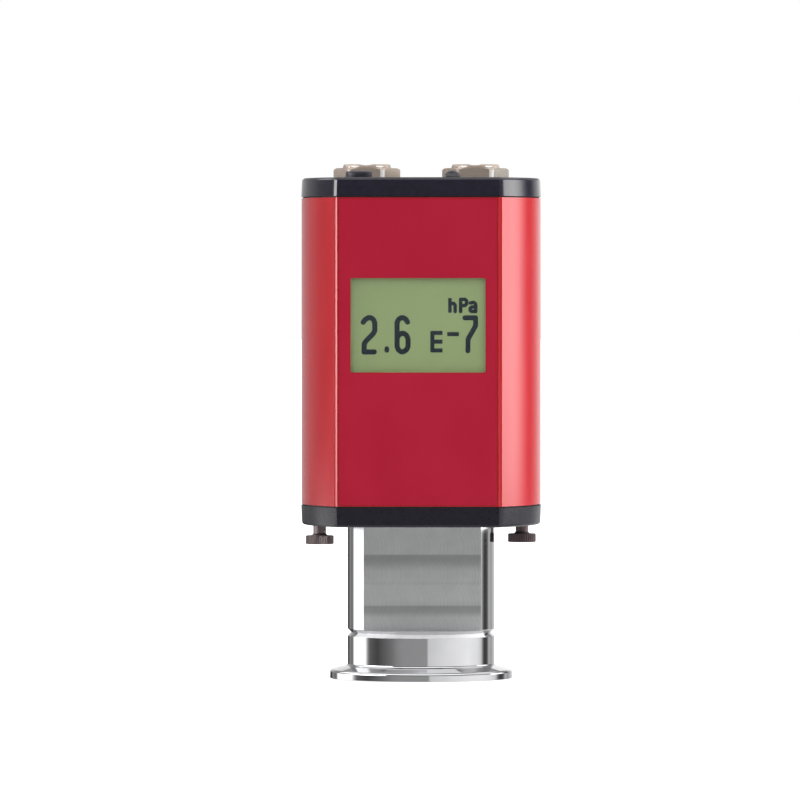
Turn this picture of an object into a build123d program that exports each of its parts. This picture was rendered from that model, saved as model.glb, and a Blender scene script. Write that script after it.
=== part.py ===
from build123d import *
import os
from math import cos, radians, sin, sqrt, tan

# Compact digital vacuum gauge on a DN 40 small flange.
# Millimetres. The origin is the centre of the flange's sealing face, +Z runs up the tube,
# and the display faces -Y.

# Clamp flange and tube
flange_diameter = 55.0
rim_height = 2.45
flange_taper = 15.0  # degrees, the clamp's cone
rim_round = 0.8
face_edge = 0.3
neck_diameter = 44.4
neck_root_round = 0.6
neck_length = 46.5  # sealing face to the underside of the bottom cap
groove_height = 13.85
groove_depth = 1.1
flat_overrun = 0.2  # how far the flat's cutter runs into the groove
flat_turn = 3.0  # degrees that the flats sit round from the display
flat_cover = 1.0  # how far the flats reach up into the cap
flat_wall = 2.5  # steel left between the flat and the chamber
centring_diameter = 41.2
centring_depth = 3.0
mouth_wall = 2.7
mouth_depth = 10.0
chamber_diameter = 22.0
plate_diameter = 54.0  # the tube's mounting plate inside the bottom cap
plate_thickness = 2.2

# Baffle at the foot of the chamber
baffle_ledge = 5.0  # width of the ledge that carries the baffle
baffle_thickness = 0.8
baffle_hole = 2.2
baffle_rings = 2
baffle_margin = 0.75  # of a pitch, from the last ring of holes to the chamber
baffle_screws = 3
baffle_screw_diameter = 1.6
baffle_screw_length = 3.0
baffle_screw_head = 3.2
baffle_screw_head_height = 0.8

# Glass-sealed header and electrodes
header_thickness = 2.5
header_drop = 2.5  # from the cap's underside down to the header's underside
header_ledge = 1.0
pin_diameter = 0.9
bead_wall = 0.8
pin_reach = 4.0  # pins below the header
grid_radius = 5.0
grid_wire = 0.5
grid_rod = 0.8
grid_length = 22.0
grid_rings = 9
collector_wire = 0.5
loop_offset = 8.0  # filament and Pirani wire, each side of the grid
loop_width = 6.4
loop_length = 18.0
loop_wire = 0.5
sensor_board_diameter = 22.0
sensor_board_thickness = 1.2
sensor_board_rise = 4.5  # board above the mounting plate's underside
sensor_plug_size = (16.0, 8.0, 7.8)

# Housing outline
body_width = 72.2
body_depth = 72.0
face_width = 50.2  # flat front between the crowned sides
bead_width = 0.9
bead_depth = 0.8
bead_round = 0.25
housing_length = 92.1
housing_wall = 2.5

# Label and display
label_recess = 0.4
label_width = 47.0
label_thickness = 0.3
label_gap = 0.4  # dark line left and right of the label
window_width = 40.2
window_height = 28.1
window_corner = 0.4
window_drop = 38.1  # housing's upper edge to the display's centre
pane_border = 0.6  # pane wider than the label's cut-out, each side
pane_thickness = 1.2
cell_border = 2.6
cell_thickness = 2.4
cell_gap = 0.1
frame_border = 1.0
frame_depth = 3.0
board_thickness = 1.6
display_board_width = 51.0
display_board_length = 58.0
board_plug_width = 20.0
board_plug_height = 6.0
board_plug_drop = 22.0  # below the display's centre

# Main board and its guides
board_pitch = 9.4  # from the display board to the main board
main_board_foot = 3.15  # the tube's mounting plate to the board's lower edge
guide_grip = 1.4
guide_wall = 1.2
guide_gap = 0.15
guide_seat = 0.6  # board's edge to the housing's inner wall
component_gap = 3.0
link_header_size = (20.0, 5.0, 7.0)
transformer_size = (15.0, 12.0, 14.0)
converter_size = (12.0, 10.0, 14.0)
relay_size = (10.0, 8.0, 14.0)
chip_width = 12.0
chip_thickness = 1.6
can_diameter = 8.0
can_length = 9.0
cans = 3
sensor_socket_wall = 2.0
sensor_socket_roof = 4.0

# Caps and gaskets
cap_proud = 0.25
cap_draft = 0.25
cap_round = 0.8
bottom_cap_height = 5.8
top_cap_height = 5.6
cap_plate = 3.0
cap_rim = 3.0
tab_width = 34.0
tab_height = 3.0
tab_thickness = 1.3
gasket_thickness = 0.4
gasket_inset = 0.45
gasket_width = 1.7

# Fasteners
port_wall = 1.45
thumb_inset = 5.8  # crown of the side to a thumb screw's axis
thumb_y = 10.0
thumb_shank = 3.85
thumb_length = 18.0  # shank above the knob
knob_diameter = 8.45
knob_height = 2.6
knob_drop = 3.0  # cap's underside to the knob's top
knob_ridges = 28
knurl_depth = 0.3
knurl_land = 0.36  # share of the pitch at full diameter
knurl_valley = 0.68  # share of the pitch where the valley lies
knob_round = 0.35
flare_diameter = 5.0
flare_height = 0.7
cap_screw_diameter = 2.6
cap_screw_length = 12.0
cap_screw_head = 5.4
cap_screw_cross = 3.24  # tip to tip of the cross recess
cap_screw_y = 22.0
plate_screw_diameter = 2.4
plate_screw_length = 4.2
plate_screw_head = 4.4
plate_screw_head_height = 1.6
plate_screws = 4
plate_edge = 2.3  # screw's centre to the plate's edge
slot_width = 0.6
slot_depth = 0.6

# Sockets on the top cap
socket_x = 16.4
socket_y = 0.0
sleeve_diameter = 14.5
sleeve_bore = 11.0
sleeve_rise = 4.25  # above the top cap
sleeve_length = 14.0
sleeve_round = 0.5
shoulder_width = 1.75
shoulder_height = 1.7
nut_across_flats = 17.5
nut_height = 3.1
nut_chamfer = 0.9
insert_diameter = 8.4
insert_drop = 1.6
insert_foot = 4.0
contact_circle = 5.5
contact_diameter = 1.0
contact_drop = 0.8
key_radius = 0.7

# Connector board, switch and status lamp
connector_board_drop = 1.6  # sleeve's lower end to the board
connector_board_width = 47.0
connector_board_front = 28.5
connector_board_back = 15.0
switch_x = -18.0
switch_y = -24.0
switch_size = 10.0
switch_height = 4.0
rotor_diameter = 6.0
rotor_height = 1.4
plug_diameter = 7.9
plug_rise = 1.9
plug_stem = 6.6
plug_stem_length = 3.8
plug_round = 0.4
plug_slot = 5.53
lamp_x = 9.9
lamp_y = -24.0
lens_diameter = 4.9
lens_rise = 2.0
light_guide = 3.0
lamp_size = 2.6
lamp_height = 1.2
lamp_gap = 0.4

# General clearances
fit = 0.05
slip = 0.2
over = 1.0  # how far a cutter runs past what it cuts

# Heights worked out from the sizes above
cap_low = neck_length
floor_top = cap_low + cap_plate
bottom_cap_top = cap_low + bottom_cap_height
housing_low = bottom_cap_top + gasket_thickness
housing_high = housing_low + housing_length
top_cap_low = housing_high + gasket_thickness
top = top_cap_low + top_cap_height
top_plate_low = top - cap_plate
plate_top = floor_top + plate_thickness
header_low = neck_length - header_drop
header_high = header_low + header_thickness
window_rise = housing_length - window_drop  # housing's lower edge to the display's centre
display_z = housing_low + window_rise
sleeve_top = top + sleeve_rise
sleeve_low = sleeve_top - sleeve_length
connector_board_top = sleeve_low - connector_board_drop
connector_board_low = connector_board_top - board_thickness
main_board_top = connector_board_low - slip
main_board_length = main_board_top - plate_top - main_board_foot

# Radii and depths worked out
neck_radius = neck_diameter / 2
chamber_radius = chamber_diameter / 2
flat_distance = chamber_radius + flat_wall
mouth_radius = neck_radius - mouth_wall
baffle_radius = chamber_radius + baffle_ledge
header_radius = chamber_radius + header_ledge
half_width = body_width / 2
half_depth = body_depth / 2
half_face = face_width / 2
crown = half_width - half_face
side_radius = ((half_depth - bead_depth) ** 2 + crown**2) / (2 * crown)
side_centre = half_width - side_radius
wall_face = half_depth - housing_wall  # inside of the front wall
cell_front = wall_face - cell_gap
frame_front = cell_front - cell_thickness
display_board_front = frame_front - frame_depth
display_board_back = display_board_front - board_thickness
main_board_front = display_board_front - board_pitch
main_board_back = main_board_front - board_thickness
thumb_port = thumb_shank / 2 + port_wall
cap_port = cap_screw_diameter / 2 + port_wall
plate_screw_circle = plate_diameter / 2 - plate_edge
thumb_x = half_width - thumb_inset


def inner_half_width(y, inset):
    """Half width, at depth y, of the housing's side curve moved in by inset."""
    return side_centre + sqrt((side_radius - inset) ** 2 - y**2)


thumb_places = [(-thumb_x, -thumb_y), (thumb_x, thumb_y)]
cap_screw_x = inner_half_width(cap_screw_y, housing_wall) - cap_screw_diameter / 2 - slip
cap_screw_places = [(sx * cap_screw_x, sy * cap_screw_y) for sx in (-1, 1) for sy in (-1, 1)]
socket_places = {"left": -socket_x, "right": socket_x}
contact_places = [(0.0, 0.0)] + [
    (
        contact_circle / 2 * cos(radians(45 + 90 * k)),
        contact_circle / 2 * sin(radians(45 + 90 * k)),
    )
    for k in range(4)
]
grid_pins = [(-grid_radius, 0.0), (grid_radius, 0.0)]
filament_pins = [(-loop_width / 2, -loop_offset), (loop_width / 2, -loop_offset)]
pirani_pins = [(-loop_width / 2, loop_offset), (loop_width / 2, loop_offset)]
pin_places = [(0.0, 0.0)] + grid_pins + filament_pins + pirani_pins


def rod(radius, low, high, x=0.0, y=0.0):
    """Upright round bar between two heights."""
    bar = Cylinder(radius, high - low, align=(Align.CENTER, Align.CENTER, Align.MIN))
    return Pos(x, y, low) * bar


def block(x, y, z):
    """Box from three (low, high) pairs."""
    sizes = [pair[1] - pair[0] for pair in (x, y, z)]
    return Pos(x[0], y[0], z[0]) * Box(*sizes, align=(Align.MIN, Align.MIN, Align.MIN))


def join(pieces):
    """One shape from many."""
    pieces = list(pieces)
    first = pieces[0]
    return first.fuse(*pieces[1:]) if len(pieces) > 1 else first


def bead_outline(grow=0.0):
    """Plan outline of the housing: flat front and back, crowned sides, a bevel at each corner."""
    bevel_y = half_depth - bead_depth
    bevel_x = half_face - bead_width
    front = Line((-bevel_x, -half_depth), (bevel_x, -half_depth))
    right_bevel = Line((bevel_x, -half_depth), (half_face, -bevel_y))
    right = ThreePointArc((half_face, -bevel_y), (half_width, 0), (half_face, bevel_y))
    back_bevel = Line((half_face, bevel_y), (bevel_x, half_depth))
    back = Line((bevel_x, half_depth), (-bevel_x, half_depth))
    left_back = Line((-bevel_x, half_depth), (-half_face, bevel_y))
    left = ThreePointArc((-half_face, bevel_y), (-half_width, 0), (-half_face, -bevel_y))
    left_bevel = Line((-half_face, -bevel_y), (-bevel_x, -half_depth))
    face = make_face([front, right_bevel, right, back_bevel, back, left_back, left, left_bevel])
    return offset(face, amount=grow, kind=Kind.INTERSECTION) if grow else face


def inner_outline(inset):
    """Plan outline moved in by a wall: flat front and back, crowned sides, plain corners."""
    y = half_depth - inset
    x = inner_half_width(y, inset)
    reach = half_width - inset
    lines = [
        Line((-x, -y), (x, -y)),
        ThreePointArc((x, -y), (reach, 0), (x, y)),
        Line((x, y), (-x, y)),
        ThreePointArc((-x, y), (-reach, 0), (-x, -y)),
    ]
    return make_face(lines)


def front_band(width, low, high):
    """Plan rectangle at the front between two distances from the middle."""
    return Pos(0, -(low + high) / 2) * Rectangle(width, high - low)


def guide_ribs(y_front, y_back, board_half):
    """Plan of the four ribs that hold one board's two upright edges."""
    inner = board_half - guide_grip
    ribs = []
    for low, high in (
        (-y_front - guide_gap - guide_wall, -y_front - guide_gap),
        (-y_back + guide_gap, -y_back + guide_gap + guide_wall),
    ):
        reach = half_width
        for side in (-1, 1):
            middle = side * (inner + reach) / 2
            ribs.append(Pos(middle, (low + high) / 2) * Rectangle(reach - inner, high - low))
    return ribs


def sensor_body():
    """Flange and tube: turned outside, bored inside, with two milled flats."""
    rim = flange_diameter / 2
    cone_rise = (rim - neck_radius) * tan(radians(flange_taper))
    cone_top = rim_height + cone_rise
    neck_top = floor_top
    plate_radius = plate_diameter / 2
    profile = Polyline(
        (0, 0),
        (rim - face_edge, 0),
        (rim, face_edge),
        (rim, rim_height),
        (neck_radius, cone_top),
        (neck_radius, groove_height - groove_depth),
        (neck_radius - groove_depth, groove_height),
        (neck_radius, groove_height + groove_depth),
        (neck_radius, neck_top),
        (plate_radius, neck_top),
        (plate_radius, plate_top),
        (0, plate_top),
        (0, 0),
    )
    section = make_face(profile)
    corner = section.vertices().filter_by(lambda v: abs(v.X - rim) < 1e-6).sort_by(Axis.Y)[-1]
    section = fillet(corner, rim_round)
    root = section.vertices().filter_by(
        lambda v: abs(v.X - neck_radius) < 1e-6 and abs(v.Y - cone_top) < 1e-6
    )
    section = fillet(root, neck_root_round)
    turned = revolve(Plane.XZ * section, Axis.Z)
    # Stepped bore: centring seat, mouth, baffle seat, chamber, header seat
    baffle_top = mouth_depth + baffle_thickness + slip
    bore = [
        rod(centring_diameter / 2, -over, centring_depth),
        rod(mouth_radius, centring_depth - over, mouth_depth),
        rod(baffle_radius + slip, mouth_depth - over, baffle_top),
        rod(chamber_radius, baffle_top - over, header_low + over),
        rod(header_radius, header_low, plate_top + over),
    ]
    for x, y in baffle_screw_places():
        bore.append(rod(baffle_screw_diameter / 2 + fit, baffle_top - over, baffle_screw_tip(), x, y))
    for x, y in plate_screw_places():
        bore.append(rod(plate_screw_diameter / 2 + slip, floor_top - over, plate_top + over, x, y))
    turned -= bore
    # Milled flats, front and back, from the groove up into the cap
    flat_low = groove_height + groove_depth - flat_overrun
    flat_high = neck_length + flat_cover
    cutter = block(
        (-neck_radius, neck_radius), (-2 * neck_radius, -flat_distance), (flat_low, flat_high)
    )
    for turn in (flat_turn, flat_turn + 180):
        turned -= Rot(0, 0, turn) * cutter
    return turned


def baffle_screw_places():
    """Centres of the screws through the baffle's rim."""
    radius = chamber_radius + baffle_ledge / 2
    turns = [radians(360 / baffle_screws * k) for k in range(baffle_screws)]
    return [(radius * cos(turn), radius * sin(turn)) for turn in turns]


def baffle_screw_tip():
    """Height that the baffle's screws reach in the tube."""
    return mouth_depth + slip + baffle_screw_length + fit


def plate_screw_places():
    """Centres of the screws that hold the tube's plate to the bottom cap."""
    turns = [radians(360 / plate_screws * (k + 0.5)) for k in range(plate_screws)]
    return [(plate_screw_circle * cos(turn), plate_screw_circle * sin(turn)) for turn in turns]


def baffle():
    """Round screen of small holes that keeps splinters and stray charge out of the chamber."""
    low = mouth_depth + slip
    disc = rod(baffle_radius, low, low + baffle_thickness)
    holes = [rod(baffle_hole / 2, low - over, low + baffle_thickness + over)]
    pitch = chamber_radius / (baffle_rings + baffle_margin)
    for ring in range(1, baffle_rings + 1):
        for k in range(6 * ring):
            turn = radians(60 / ring * k)
            place = (pitch * ring * cos(turn), pitch * ring * sin(turn))
            holes.append(rod(baffle_hole / 2, low - over, low + baffle_thickness + over, *place))
    for x, y in baffle_screw_places():
        holes.append(rod(baffle_screw_diameter / 2 + fit, low - over, low + baffle_thickness + over, x, y))
    return disc - holes


def pan_screw(x, y, seat, shank, head, head_height, length, down):
    """Slotted pan-head screw with its head on seat, pointing down or up."""
    way = -1 if down else 1
    tip = seat + way * length
    cap = seat - way * head_height
    body = join(
        [
            rod(shank / 2, min(seat, tip), max(seat, tip), x, y),
            rod(head / 2, min(seat, cap), max(seat, cap), x, y),
        ]
    )
    floor = cap + way * slot_depth
    slot = block(
        (x - head, x + head),
        (y - slot_width / 2, y + slot_width / 2),
        (min(floor, cap), max(floor, cap)),
    )
    return body - slot


def header_plate():
    """Disc at the top of the chamber, pierced for the sealed pins."""
    disc = rod(header_radius - fit, header_low, header_high)
    hole = pin_diameter / 2 + bead_wall + fit
    return disc - [rod(hole, header_low - over, header_high + over, x, y) for x, y in pin_places]


def header_beads():
    """Glass bead round each pin."""
    beads = []
    for x, y in pin_places:
        bead = rod(pin_diameter / 2 + bead_wall, header_low, header_high, x, y)
        beads.append(bead - rod(pin_diameter / 2 + fit, header_low - over, header_high + over, x, y))
    return beads


def header_pins():
    """Pins from the chamber up to the sensor board."""
    high = floor_top + sensor_board_rise + sensor_board_thickness
    return [rod(pin_diameter / 2, header_low - pin_reach, high, x, y) for x, y in pin_places]


def grid():
    """Open cage of wire rings on two rods, hung from its pins."""
    top_end = header_low - pin_reach
    low = top_end - grid_length
    outer = grid_radius + grid_wire / 2
    inner = grid_radius - grid_wire / 2
    pieces = [rod(grid_rod / 2, low, top_end, x, y) for x, y in grid_pins]
    pitch = (grid_length - pin_reach - grid_wire) / (grid_rings - 1)
    for k in range(grid_rings):
        z = low + k * pitch
        pieces.append(rod(outer, z, z + grid_wire) - rod(inner, z - over, z + grid_wire + over))
    return join(pieces)


def collector():
    """Thin rod on the grid's axis."""
    top_end = header_low - pin_reach
    return rod(collector_wire / 2, top_end - grid_length + grid_wire, top_end)


def wire_loop(places):
    """Square hairpin of wire below a pair of pins."""
    (x0, y), (x1, _) = places
    top_end = header_low - pin_reach
    low = top_end - loop_length
    half = loop_wire / 2
    return join(
        [
            rod(half, low, top_end, x0, y),
            rod(half, low, top_end, x1, y),
            block((x0, x1), (y - half, y + half), (low, low + loop_wire)),
        ]
    )


def sensor_board():
    """Small round board soldered to the pins."""
    low = floor_top + sensor_board_rise
    disc = rod(sensor_board_diameter / 2, low, low + sensor_board_thickness)
    hole = pin_diameter / 2 + fit
    return disc - [rod(hole, low - over, low + sensor_board_thickness + over, x, y) for x, y in pin_places]


def sensor_plug():
    """Plug on the sensor board, which lets the tube be exchanged."""
    width, depth, height = sensor_plug_size
    low = floor_top + sensor_board_rise + sensor_board_thickness
    return block((-width / 2, width / 2), (-depth / 2, depth / 2), (low, low + height))


def sensor_socket():
    """Right-angle socket on the main board, into which the sensor plug goes."""
    width, depth, height = sensor_plug_size
    plug_top = floor_top + sensor_board_rise + sensor_board_thickness + height
    low = plug_top - height / 2
    half_w = width / 2 + slip + sensor_socket_wall
    half_d = depth / 2 + slip + sensor_socket_wall
    body = block((-half_w, half_w), (-main_board_back, half_d), (low, plug_top + sensor_socket_roof))
    pocket = block(
        (-width / 2 - slip, width / 2 + slip),
        (-depth / 2 - slip, depth / 2 + slip),
        (low - over, plug_top + slip),
    )
    return body - pocket


def housing_shell():
    """Extruded housing: crowned walls, label recesses, screw ports and board guides."""
    outline = bead_outline()
    sharp = outline.vertices().filter_by(
        lambda v: abs(abs(v.X) - (half_face - bead_width)) < 1e-6
    )
    outline = fillet(sharp, bead_round)
    recess_width = label_width + 2 * label_gap
    recess = front_band(recess_width, half_depth - label_recess, half_depth + over)
    profile = outline - inner_outline(housing_wall)
    profile -= [recess, Rot(0, 0, 180) * recess]
    inside = inner_outline(housing_wall / 2)
    added = []
    main_half = main_board_half()
    added += guide_ribs(main_board_front, main_board_back, main_half)
    added += guide_ribs(display_board_front, display_board_back, display_board_width / 2)
    for port, places in ((thumb_port, thumb_places), (cap_port, cap_screw_places)):
        for x, y in places:
            added += [Pos(x, y) * Circle(port), port_web(port, x, y)]
    for piece in added:
        profile += piece & inside
    # Boards slide in their own slots, so the slots are cut after the ports are added
    for low, high, half in (
        (-main_board_front, -main_board_back, main_half),
        (-display_board_front, -display_board_back, display_board_width / 2),
    ):
        profile -= Pos(0, (low + high) / 2) * Rectangle(
            2 * (half + guide_gap), high - low + 2 * guide_gap
        )
    profile -= [Pos(x, y) * Circle(thumb_shank / 2 + fit) for x, y in thumb_places]
    profile -= [Pos(x, y) * Circle(cap_screw_diameter / 2 + fit) for x, y in cap_screw_places]
    shell = Pos(0, 0, housing_low) * extrude(profile, amount=housing_length)
    return shell - window_block(pane_border, wall_face - over, half_depth + over)


def port_web(radius, x, y):
    """Plan of the metal between a screw port and the side wall beside it."""
    wall = half_width if x > 0 else -half_width
    return Pos((x + wall) / 2, y) * Rectangle(abs(wall - x), 2 * radius)


def main_board_half():
    """Half width of the main board, between the housing's side walls."""
    return inner_half_width(main_board_front, housing_wall) - guide_seat


def window_block(border, back, front):
    """Block through the display's opening, larger than the label's cut-out by border."""
    half_w = window_width / 2 + border
    half_h = window_height / 2 + border
    return block((-half_w, half_w), (-front, -back), (display_z - half_h, display_z + half_h))


def front_label():
    """Thin label in the recess, cut out over the display."""
    front = half_depth - label_recess + label_thickness
    low = housing_low + label_gap
    high = housing_high - label_gap
    sheet = block((-label_width / 2, label_width / 2), (-front, -front + label_thickness), (low, high))
    hole = window_block(0, front - label_thickness - over, front + over)
    hole = fillet(hole.edges().filter_by(Axis.Y), window_corner)
    return sheet - hole


def display_window():
    """Clear pane behind the label, in the housing's opening."""
    front = half_depth - label_recess
    return window_block(pane_border - slip, front - pane_thickness, front)


def display_cell():
    """Glass sandwich of the display, behind the front wall."""
    return window_block(cell_border, frame_front, cell_front)


def display_frame():
    """Moulded frame with the backlight, which carries the cell on its board."""
    return window_block(cell_border + frame_border, display_board_front, frame_front)


def display_board():
    """Upright board behind the display, in its guides."""
    half = display_board_width / 2
    low = display_z - display_board_length / 2
    y = (-display_board_front, -display_board_back)
    return block((-half, half), y, (low, low + display_board_length))


def board_plug():
    """Plug between the display board and the main board."""
    z = display_z - board_plug_drop
    half = board_plug_width / 2
    y = (-display_board_back, -main_board_front)
    return block((-half, half), y, (z - board_plug_height / 2, z + board_plug_height / 2))


def main_board():
    """Upright board that carries the measuring circuit."""
    half = main_board_half()
    y = (-main_board_front, -main_board_back)
    return block((-half, half), y, (main_board_top - main_board_length, main_board_top))


def main_board_parts():
    """Transformer, converter, relay, processor and capacitors on the main board's back."""
    y = -main_board_back
    row = main_board_top - link_header_size[2] - component_gap
    sizes = [transformer_size, converter_size, relay_size]
    pieces = []
    left = -main_board_half() + guide_grip + component_gap
    x = left
    for width, depth, height in sizes:
        pieces.append(block((x, x + width), (y, y + depth), (row - height, row)))
        x += width + component_gap
    row -= max(size[2] for size in sizes) + component_gap
    chip_end = left + chip_width
    pieces.append(block((left, chip_end), (y, y + chip_thickness), (row - chip_width, row)))
    can_radius = can_diameter / 2
    for k in range(cans):
        centre = chip_end + component_gap + can_radius + k * (can_diameter + component_gap)
        can = Cylinder(can_radius, can_length, align=(Align.CENTER, Align.CENTER, Align.MIN))
        pieces.append(Pos(centre, y, row - can_radius) * Rot(-90, 0, 0) * can)
    return pieces


def link_header():
    """Right-angle header between the main board and the connector board."""
    width, depth, height = link_header_size
    high = connector_board_low
    y = -main_board_back
    return block((-width / 2, width / 2), (y, y + depth), (high - height, high))


def connector_board():
    """Level board under the top cap, which carries the sockets, the switch and the lamp."""
    half = connector_board_width / 2
    z = (connector_board_low, connector_board_top)
    board = block((-half, half), (-connector_board_front, connector_board_back), z)
    hole = contact_diameter / 2 + fit
    holes = []
    for centre in socket_places.values():
        for x, y in contact_places:
            holes.append(rod(hole, z[0] - over, z[1] + over, centre + x, socket_y + y))
    return board - holes


def cap_body(low, high, narrow_at_top):
    """Solid of a cap: the housing's outline with draft and a rounded outer edge."""
    wide = bead_outline(cap_proud)
    narrow = bead_outline(cap_proud - cap_draft)
    if narrow_at_top:
        solid = loft([Pos(0, 0, low) * wide, Pos(0, 0, high) * narrow], ruled=True)
        edges = solid.faces().sort_by(Axis.Z)[-1].edges()
    else:
        solid = loft([Pos(0, 0, low) * narrow, Pos(0, 0, high) * wide], ruled=True)
        edges = solid.faces().sort_by(Axis.Z)[0].edges()
    return fillet(edges, cap_round)


def locating_tabs(low, high):
    """Two tabs that centre a cap in the housing, front and back."""
    front = wall_face - slip
    back = front - tab_thickness
    half = tab_width / 2
    return [
        block((-half, half), (-front, -back), (low, high)),
        block((-half, half), (back, front), (low, high)),
    ]


def bottom_cap():
    """Moulded cap under the housing, with the tube's opening and the thumb screws' bosses."""
    cap = cap_body(cap_low, bottom_cap_top, narrow_at_top=False)
    pocket = extrude(Pos(0, 0, floor_top) * inner_outline(cap_rim), amount=bottom_cap_height)
    cap -= pocket
    boss = [rod(thumb_port, cap_low + cap_plate / 2, bottom_cap_top, x, y) for x, y in thumb_places]
    cap = join([cap] + boss + locating_tabs(bottom_cap_top - slip, bottom_cap_top + tab_height))
    holes = [rod(neck_radius + slip, cap_low - over, floor_top + over)]
    for x, y in thumb_places:
        holes.append(rod(thumb_shank / 2 + slip, cap_low - over, bottom_cap_top + over, x, y))
    for x, y in plate_screw_places():
        tip = plate_top - plate_screw_length - fit
        holes.append(rod(plate_screw_diameter / 2 + fit, tip, floor_top + over, x, y))
    return cap - holes


def top_cap():
    """Moulded cap over the housing, with holes for sockets, plug, lamp and screws."""
    cap = cap_body(top_cap_low, top, narrow_at_top=True)
    pocket = extrude(Pos(0, 0, top_cap_low) * inner_outline(cap_rim), amount=top_plate_low - top_cap_low)
    cap -= pocket
    bosses = [rod(cap_port, top_cap_low, top_plate_low + over, x, y) for x, y in cap_screw_places]
    cap = join([cap] + bosses + locating_tabs(top_cap_low - tab_height, top_cap_low + slip))
    holes = [
        rod(plug_stem / 2 + slip, top_plate_low - over, top + over, switch_x, switch_y),
        rod(light_guide / 2 + slip, top_plate_low - over, top + over, lamp_x, lamp_y),
    ]
    for x in socket_places.values():
        holes.append(rod(sleeve_diameter / 2 + slip, top_plate_low - over, top + over, x, socket_y))
    for x, y in cap_screw_places:
        holes.append(rod(cap_screw_diameter / 2 + slip, top_cap_low - over, top + over, x, y))
        sink = cap_screw_head / 2 + slip
        depth = sink - cap_screw_diameter / 2
        cone = Cone(cap_screw_diameter / 2, sink, depth, align=(Align.CENTER, Align.CENTER, Align.MAX))
        holes.append(Pos(x, y, top) * cone)
    return cap - holes


def gasket(low, ports, port_radius, hole_radius):
    """Flat gasket between a cap and the housing, with a pad round each screw."""
    ring = bead_outline(-gasket_inset) - inner_outline(gasket_inset + gasket_width)
    inside = inner_outline(gasket_inset)
    for x, y in ports:
        ring += Pos(x, y) * Circle(port_radius) & inside
    ring -= [Pos(x, y) * Circle(hole_radius) for x, y in ports]
    return Pos(0, 0, low) * extrude(ring, amount=gasket_thickness)


def thumb_screw(x, y):
    """Knurled screw that holds the bottom cap, turned by hand from below."""
    high = cap_low - knob_drop
    low = high - knob_height
    radius = knob_diameter / 2
    points = []
    for k in range(knob_ridges):
        turn = 360 / knob_ridges
        for part, reach in ((0.0, radius), (knurl_land, radius), (knurl_valley, radius - knurl_depth)):
            angle = radians(turn * (k + part))
            points.append((reach * cos(angle), reach * sin(angle)))
    knurled = extrude(make_face(Polyline(*points, close=True)), amount=knob_height)
    rounded = Cylinder(radius, knob_height, align=(Align.CENTER, Align.CENTER, Align.MIN))
    rounded = chamfer(rounded.edges().filter_by(GeomType.CIRCLE), knob_round)
    knob = Pos(x, y, low) * (knurled & rounded)
    flare = Cone(
        flare_diameter / 2, thumb_shank / 2, flare_height, align=(Align.CENTER, Align.CENTER, Align.MIN)
    )
    shank = rod(thumb_shank / 2, high - knob_height / 2, high + thumb_length, x, y)
    return join([knob, Pos(x, y, high) * flare, shank])


def cap_screw(x, y):
    """Countersunk screw of the top cap, flush with it."""
    head = cap_screw_head / 2
    shank = cap_screw_diameter / 2
    depth = head - shank
    cone = Pos(x, y, top - slip) * Cone(shank, head, depth, align=(Align.CENTER, Align.CENTER, Align.MAX))
    screw = join([cone, rod(shank, top - cap_screw_length, top - slip - depth / 2, x, y)])
    slots = [
        Pos(x, y, top - slip) * Rot(0, 0, turn) * Box(cap_screw_cross, slot_width, 2 * slot_depth)
        for turn in (0, 90)
    ]
    return screw - slots


def socket_shell(x):
    """Threaded sleeve of a socket, with a shoulder under the cap's plate."""
    radius = sleeve_diameter / 2
    sleeve = rod(radius, sleeve_low, sleeve_top, x, socket_y)
    rim = sleeve.edges().filter_by(GeomType.CIRCLE).sort_by(Axis.Z)[-1]
    sleeve = fillet(rim, sleeve_round)
    shoulder = rod(radius + shoulder_width, top_plate_low - shoulder_height, top_plate_low, x, socket_y)
    bore = rod(sleeve_bore / 2, sleeve_low - over, sleeve_top + over, x, socket_y)
    return join([sleeve, shoulder]) - bore


def socket_nut(x):
    """Hexagon nut that clamps a socket to the cap, one flat to the front."""
    hexagon = RegularPolygon(nut_across_flats / 2, 6, major_radius=False)
    nut = extrude(hexagon, amount=nut_height)
    corner = nut_across_flats / 2 / cos(radians(30))
    crown_cut = Cylinder(corner, nut_height, align=(Align.CENTER, Align.CENTER, Align.MIN))
    crown_cut = chamfer(
        crown_cut.edges().filter_by(GeomType.CIRCLE).sort_by(Axis.Z)[-1],
        nut_chamfer * tan(radians(30)),
        nut_chamfer,
    )
    nut = Pos(x, socket_y, top) * (nut & crown_cut)
    return nut - rod(sleeve_diameter / 2 + fit, top - over, top + nut_height + over, x, socket_y)


def socket_insert(x):
    """Moulded carrier of the contacts, with its key groove."""
    face = sleeve_top - insert_drop
    foot = sleeve_low + insert_foot
    body = join(
        [
            rod(insert_diameter / 2, foot - over, face, x, socket_y),
            rod(sleeve_bore / 2 - fit, sleeve_low, foot, x, socket_y),
        ]
    )
    hole = contact_diameter / 2 + fit
    holes = [rod(hole, sleeve_low - over, face + over, x + px, socket_y + py) for px, py in contact_places]
    holes.append(rod(key_radius, foot, face + over, x, socket_y - insert_diameter / 2))
    return body - holes


def socket_contacts(x):
    """Five contacts of one socket, soldered to the connector board."""
    high = sleeve_top - insert_drop - contact_drop
    radius = contact_diameter / 2
    return [rod(radius, connector_board_low, high, x + px, socket_y + py) for px, py in contact_places]


def address_switch():
    """Rotary coding switch on the connector board."""
    half = switch_size / 2
    low = connector_board_top
    body = block(
        (switch_x - half, switch_x + half),
        (switch_y - half, switch_y + half),
        (low, low + switch_height),
    )
    rotor_top = low + switch_height + rotor_height
    body += rod(rotor_diameter / 2, low + switch_height / 2, rotor_top, switch_x, switch_y)
    slot = Pos(switch_x, switch_y, rotor_top) * Box(rotor_diameter, slot_width * 2, 2 * slot_depth)
    return body - slot


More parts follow.
